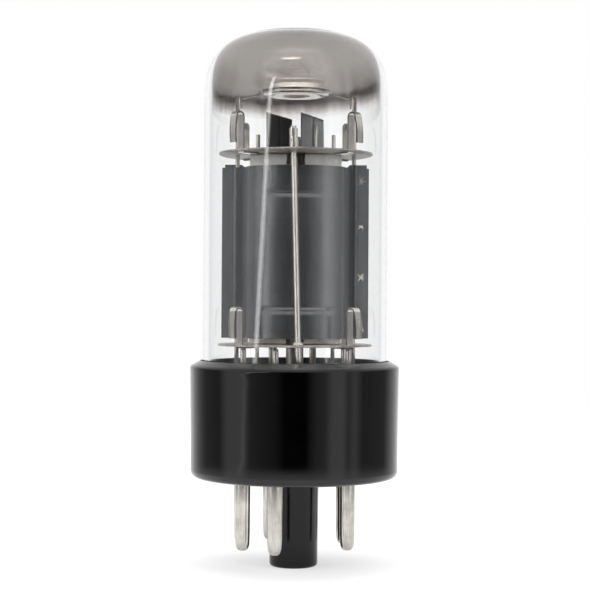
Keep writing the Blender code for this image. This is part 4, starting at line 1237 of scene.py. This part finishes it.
def make_heater(finish):
    """A hairpin of coated wire."""
    low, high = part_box("heater")
    radius = high.y
    reach = high.x - radius
    bend_z = high.z - radius - reach
    path = [(-reach, 0.0, low.z + (bend_z - low.z) * step / 10) for step in range(10)]
    for step in range(17):
        turn = pi - pi * step / 16
        path.append((reach * cos(turn), 0.0, bend_z + reach * sin(turn)))
    path += [(reach, 0.0, bend_z + (low.z - bend_z) * step / 10) for step in range(1, 11)]
    mesh = swept("heater_hairpin", path, circle(radius, 14), across=(0, 1, 0))
    add_piece("heater_hairpin", mesh, finish, "heater_coating", "heater")


def make_beam_plates(finish):
    """Two folded strips, each with a band over and under its windows."""
    low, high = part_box("beam_plate_right")
    half_width = high.x - BEAM_SHEET / 2
    half_depth = high.y - BEAM_SHEET / 2
    end = degrees(acos((BEAM_OPENING / half_width) ** (PLATE_SQUARENESS / 2)))
    outline = superoval(half_width, half_depth, PLATE_SQUARENESS, -end, end, 72)
    count = len(outline)
    nearest = min(range(count), key=lambda index: abs(outline[index][0] - BEAM_WINDOW_HALF_WIDTH))
    window = min(nearest, count - 1 - nearest)
    heights = [low.z + BEAM_END_GAP, low.z + BEAM_BAND]
    heights += [low.z + BEAM_BAND + (high.z - low.z - 2 * BEAM_BAND) * step / 10 for step in range(1, 11)]
    heights.append(high.z - BEAM_END_GAP)
    points = [(x, y, z) for z in heights for x, y in outline]
    faces = []
    for face in lattice(len(heights), count):
        level, index = divmod(face[0], count)
        beside = index < window or index >= count - 1 - window
        if not (beside and 0 < level < len(heights) - 2):
            faces.append(face)
    for side, turn in (("right", 0.0), ("left", pi)):
        mesh = sheet_of(f"beam_former_{side}", points, faces)
        mesh.transform(Matrix.Rotation(turn, 4, "Z"))
        made = add_piece(f"beam_former_{side}", mesh, finish, "nickel", f"beam_plate_{side}")
        thicken(made, BEAM_SHEET)


def make_fins(left_fin_painted_shade, right_fin_painted_light):
    """Blackened fins with a ragged, slightly curled upper edge and a channel where the rod lies; the left
    one takes a near-black copy of the finish as painted shade, the right one a lighter copy as painted
    light.
    """
    along = around(90 - FIN_TURN, 1.0)
    aside = around(-FIN_TURN, 1.0)
    # Each fin has its own copy of the finish: painted shade on the left, painted light on the right
    for side, sign, finish in (("left", -1, left_fin_painted_shade), ("right", 1, right_fin_painted_light)):
        node = f"radiator_fin_{side}"
        low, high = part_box(node)
        centre = centre_of(node)
        points = []
        for row in range(FIN_ROWS + 1):
            up = row / FIN_ROWS
            for column in range(FIN_COLUMNS + 1):
                share = column / FIN_COLUMNS
                run = (share - 0.5) * FIN_LENGTH
                channel = -sign * FIN_CHANNEL * exp(-((run / FIN_CHANNEL_WIDTH) ** 2))
                curl = sign * FIN_WAVE * up**3 * sin(share * 5.0)
                ragged = FIN_WAVE * noise.noise(Vector((share * 9, sign, 0))) if row == FIN_ROWS else 0.0
                place = centre + along * run + aside * (channel + curl)
                points.append((place.x, place.y, low.z + (high.z - low.z) * up - abs(ragged)))
        mesh = sheet_of(f"cooling_fin_{side}", points, lattice(FIN_ROWS + 1, FIN_COLUMNS + 1))
        made = add_piece(f"cooling_fin_{side}", mesh, finish, "carbonised_metal", node)
        thicken(made, FIN_SHEET)


def make_leads(finish):
    """The wires from the stem to the cage, blunt at their upper ends."""
    for number in PIN_NUMBERS:
        node = f"stem_lead_{number}"
        low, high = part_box(node)
        corners = [
            (0.0, high.z, 0.0),
            (LEAD_RADIUS * 0.8, high.z, 0.0001),
            (LEAD_RADIUS, high.z - 0.0003, 0.0002),
            (LEAD_RADIUS, low.z, 0.0001),
            (0.0, low.z, 0.0),
        ]
        mesh = turned(node, soften(corners, 3), ROD_STEPS, centre=centre_of(node))
        add_piece(f"lead_wire_{number}", mesh, finish, "nickel", node)


def make_strips(finish):
    """The welded strips, each on the line that its solid takes, with a slight sag."""
    for name in STRIP_NAMES:
        low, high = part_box(name)
        middle = (low + high) / 2
        corners = [vertex.co for vertex in frame["nodes"][name].data.vertices]
        far = max(corners, key=lambda co: (co.xy - middle.xy).length)
        start = Vector((far.x, far.y, middle.z))
        end = 2 * middle - start
        way = (end - start).normalized()
        path = []
        for step in range(13):
            share = step / 12
            sag = -WELD_STRIP_SAG * sin(pi * share)
            path.append(start.lerp(end, share) + Vector((0, 0, sag)))
        across = Vector((0, 0, 1)) - way * way.z
        section = flat_section((high.z - low.z) * WELD_STRIP_SHARE, WELD_STRIP_SHEET)
        mesh = swept(name, path, section, across=tuple(across))
        add_piece(f"welded_{name}", mesh, finish, "nickel", name)


def make_getter(finish, residue):
    """The pressed dish, the crust left in its trough and the two ribbons that hold it."""
    rim = GETTER_HIGH.x - GETTER_CLEARANCE
    floor_z = GETTER_LOW.z + GETTER_CLEARANCE
    trough = (GETTER_HUB + rim) / 2
    line = soften([
        (0.0, floor_z + 0.0009, 0.0),
        (GETTER_HUB - 0.0008, floor_z + 0.0008, 0.0022),
        (GETTER_HUB + 0.0006, floor_z, 0.0006),
        (rim - 0.0003, floor_z, 0.0006),
        (rim, floor_z + GETTER_HEIGHT, 0.0),
    ])
    upper = [(across, z + GETTER_SHEET / 2) for across, z in line]
    lower = [(across, z - GETTER_SHEET / 2) for across, z in line]
    add_piece("getter_pan", turned("getter_pan", lower + upper[::-1], 96), finish, "nickel", "getter_dish")

    low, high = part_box("getter_fill")
    crust = soften([
        (trough - CRUST_WIDTH / 4, high.z, 0.0001),
        (trough + CRUST_WIDTH / 4, high.z, 0.0001),
        (trough + CRUST_WIDTH / 2, low.z, 0.0001),
        (trough - CRUST_WIDTH / 2, low.z, 0.0001),
    ])
    mesh = turned("getter_crust", crust, 96, closed=True)
    for vertex in mesh.vertices:
        vertex.co.z += CRUST_ROUGHNESS * noise.noise(vertex.co * 3000.0)
    add_piece("getter_crust", mesh, residue, "getter_residue", "getter_fill")

    for side, sign in (("left", -1), ("right", 1)):
        node = f"getter_strip_{side}"
        low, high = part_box(node)
        inner = (low.x if sign > 0 else -high.x) + GETTER_CLEARANCE
        outer = (high.x if sign > 0 else -low.x) - GETTER_CLEARANCE
        line = soften([
            (inner, GETTER_HIGH.z - 0.0002, 0.0),
            (inner, high.z - 0.0002, 0.0004),
            (outer, high.z - 0.0010, 0.0004),
            (outer, low.z + 0.0001, 0.0),
        ])
        path = [(sign * across, 0.0, z) for across, z in line]
        mesh = swept(node, path, flat_section(high.y - low.y, RIBBON_SHEET), across=(0, 1, 0))
        add_piece(f"getter_ribbon_{side}", mesh, finish, "nickel", node)


def make_world():
    """White for the camera and through glass, and a studio of soft panels in what shines."""
    world = bpy.data.worlds.new("studio")
    bpy.context.scene.world = world
    world.use_nodes = True
    w = Nodes(world.node_tree)
    way = w.add("SeparateXYZ", Vector=w.coordinates["Generated"]).outputs
    up = way["Z"]
    turn = w.math("ARCTAN2", way["X"], w.math("MULTIPLY", way["Y"], -1.0))
    share = w.math("ADD", w.math("DIVIDE", turn, 2 * pi), 0.5)
    stops = [(angle / 360 + 0.5, (grey, grey, grey * PANEL_BLUE)) for angle, grey in STUDIO_PANELS]
    overhead = (OVERHEAD_TONE, OVERHEAD_TONE, OVERHEAD_TONE, 1.0)
    studio = w.mix(w.span(up, *OVERHEAD_SPAN), w.ramp(share, *stops), overhead)

    aside = w.math("SUBTRACT", turn, radians(STRIP_ANGLE), w.math("MULTIPLY", up, STRIP_LEAN))
    half = radians(STRIP_WIDTH) / 2
    narrow = w.span(w.math("ABSOLUTE", aside), half * 0.5, half * 1.5, STRIP_BRIGHTNESS, 0.0)
    tall = w.span(w.math("ABSOLUTE", up), STRIP_REACH, STRIP_REACH * 0.8)
    foot = w.span(up, STRIP_FOOT - STRIP_FOOT_FADE, STRIP_FOOT, STRIP_FOOT_SHARE)
    strip = w.math("MULTIPLY", narrow, tall, foot)
    front = w.span(w.math("ABSOLUTE", turn), *[radians(angle) for angle in CANOPY_ANGLES])
    twice = w.math("GREATER_THAN", w.path["Glossy Depth"], 1.5)
    canopy = w.math("MULTIPLY", w.span(up, *CANOPY_HEIGHTS), front, twice, CANOPY_BRIGHTNESS)
    lit = w.mix(1.0, studio, w.math("ADD", strip, canopy), "ADD")

    shining = w.add("Background", Color=lit, Strength=1.0).outputs[0]
    soft = w.add("Background", Color=WHITE, Strength=AMBIENT_STRENGTH).outputs[0]
    white = w.add("Background", Color=WHITE, Strength=1.0).outputs[0]
    scattered = w.math("MINIMUM", w.math("ADD", w.path["Glossy Depth"], w.path["Diffuse Depth"]), 1.0)
    through = w.math("MULTIPLY", w.path["Is Transmission Ray"], w.math("SUBTRACT", 1.0, scattered))
    seen = w.math("MAXIMUM", w.path["Is Camera Ray"], through)
    shone = w.math("MINIMUM", w.path["Glossy Depth"], 1.0)
    first = w.blend(w.math("MAXIMUM", w.path["Is Glossy Ray"], shone), soft, shining)
    w.fill(w.add("OutputWorld").inputs["Surface"], w.blend(seen, first, white))


def add_softbox(name, place, size, power):
    """A plain rectangular lamp turned to the tube."""
    lamp = bpy.data.lights.new(name, "AREA")
    lamp.shape = "RECTANGLE"
    lamp.size = size[0]
    lamp.size_y = size[1]
    lamp.energy = power
    made = link(bpy.data.objects.new(name, lamp))
    made.location = place
    made.rotation_euler = (Vector(LAMP_TARGET) - Vector(place)).to_track_quat("-Z", "Y").to_euler()
    made.visible_glossy = False
    made.visible_transmission = False


def make_stage():
    """The floor, a hair under the tube."""
    points = [(0.0, 0.0, 0.0)] + [(x, y, 0.0) for x, y in circle(FLOOR_REACH, HOLE_SIDES)]
    faces = [(0, 1 + step, 1 + (step + 1) % HOLE_SIDES) for step in range(HOLE_SIDES)]
    floor = link(bpy.data.objects.new("floor", sheet_of("floor", points, faces)))
    floor.location.z = -FLOOR_DROP
    give_materials(floor.data, floor_finish())


def make_camera():
    camera = bpy.data.cameras.new("camera")
    camera.lens = CAMERA_LENS
    camera.clip_start = 0.01
    made = link(bpy.data.objects.new("camera", camera))
    tilt = Matrix.Rotation(radians(90 + CAMERA_TILT), 4, "X")
    roll = Matrix.Rotation(radians(CAMERA_ROLL), 4, "Z")
    made.matrix_world = Matrix.Translation(CAMERA_PLACE) @ tilt @ roll
    bpy.context.scene.camera = made


def main():
    make_camera()
    make_stage()
    make_world()
    add_softbox("left_softbox", (-0.55, -0.35, 0.25), *SIDE_LAMP)
    add_softbox("right_softbox", (0.55, -0.35, 0.25), *SIDE_LAMP)
    add_softbox("top_softbox", (0.0, 0.05, 0.75), *TOP_LAMP)
    bpy.context.scene.view_settings.view_transform = "Standard"

    black = phenolic("phenolic_gloss", 0.5, 0.055, 0.10, (1.0, 1.0, 1.0))
    rubbed = phenolic("phenolic_key", 0.3, 0.02, 0.16, (8.0, 8.0, 0.3))
    plated = metal("plated_pin", (0.36, 0.342, 0.31), (0.68, 0.66, 0.62), 0.04, 0.10, 0.04)
    nickel = metal("satin_nickel", (0.62, 0.59, 0.545), (0.79, 0.76, 0.71), 0.10, 0.22, 0.04, 0.8)
    drawn = metal("drawn_nickel", (0.68, 0.65, 0.60), (0.84, 0.81, 0.76), 0.06, 0.12, 0.02)
    # A near-black finish for the springs' edges: painted shade
    spring_edge_shade = metal("sheared_edge", (0.05, 0.045, 0.04), (0.12, 0.11, 0.10), 0.3, 0.5, 0.04)
    # A paler, nearly dull copy of the nickel for the beam plates: painted light that brightens them where
    # the mica above shades them
    beam = metal("beam_nickel", (0.84, 0.81, 0.76), (0.97, 0.94, 0.89), 0.2, 0.35, 0.04, 0.05)
    carbon = carbonised("carbonised_nickel", 0.145, 0.215, 0.85, 0.3)
    # Two copies of the carbonised finish for the fins: near-black as painted shade on the left fin, lighter
    # and duller as painted light on the right
    left_fin_painted_shade = carbonised("sooted_fin", 0.006, 0.016, 0.0, 0.0, 0.65, 0.8)
    right_fin_painted_light = carbonised("greyed_fin", 0.125, 0.18, 0.5, 0.5, 0.35, 0.36)
    mica = mica_sheet()
    clear = glass()
    cement = powder("basing_cement", (0.34, 0.29, 0.22), (0.50, 0.44, 0.35), 0.00008)
    alumina = powder("heater_alumina", (0.66, 0.63, 0.57), (0.84, 0.82, 0.78), 0.00003)
    residue = powder("getter_residue", (0.06, 0.055, 0.05), (0.24, 0.22, 0.20), 0.00006)

    make_base(black, rubbed)
    make_pins(plated)
    make_bulb(clear)
    make_film(getter_film(mirrored=False), getter_film(mirrored=True))
    make_stem(clear)
    make_cement(cement)
    for level in ("lower", "upper"):
        make_mica(level, mica)
        make_springs(level, nickel, spring_edge_shade)
    make_plate(carbon, nickel)
    make_plate_rods(nickel)
    make_tie_rods(drawn, nickel)
    for node, (radius, pitch) in GRIDS.items():
        make_grid(node, radius, pitch, nickel)
    make_cathode(cathode_metal())
    make_heater(alumina)
    make_beam_plates(beam)
    make_fins(left_fin_painted_shade, right_fin_painted_light)
    make_leads(nickel)
    make_strips(nickel)
    make_getter(nickel, residue)


main()
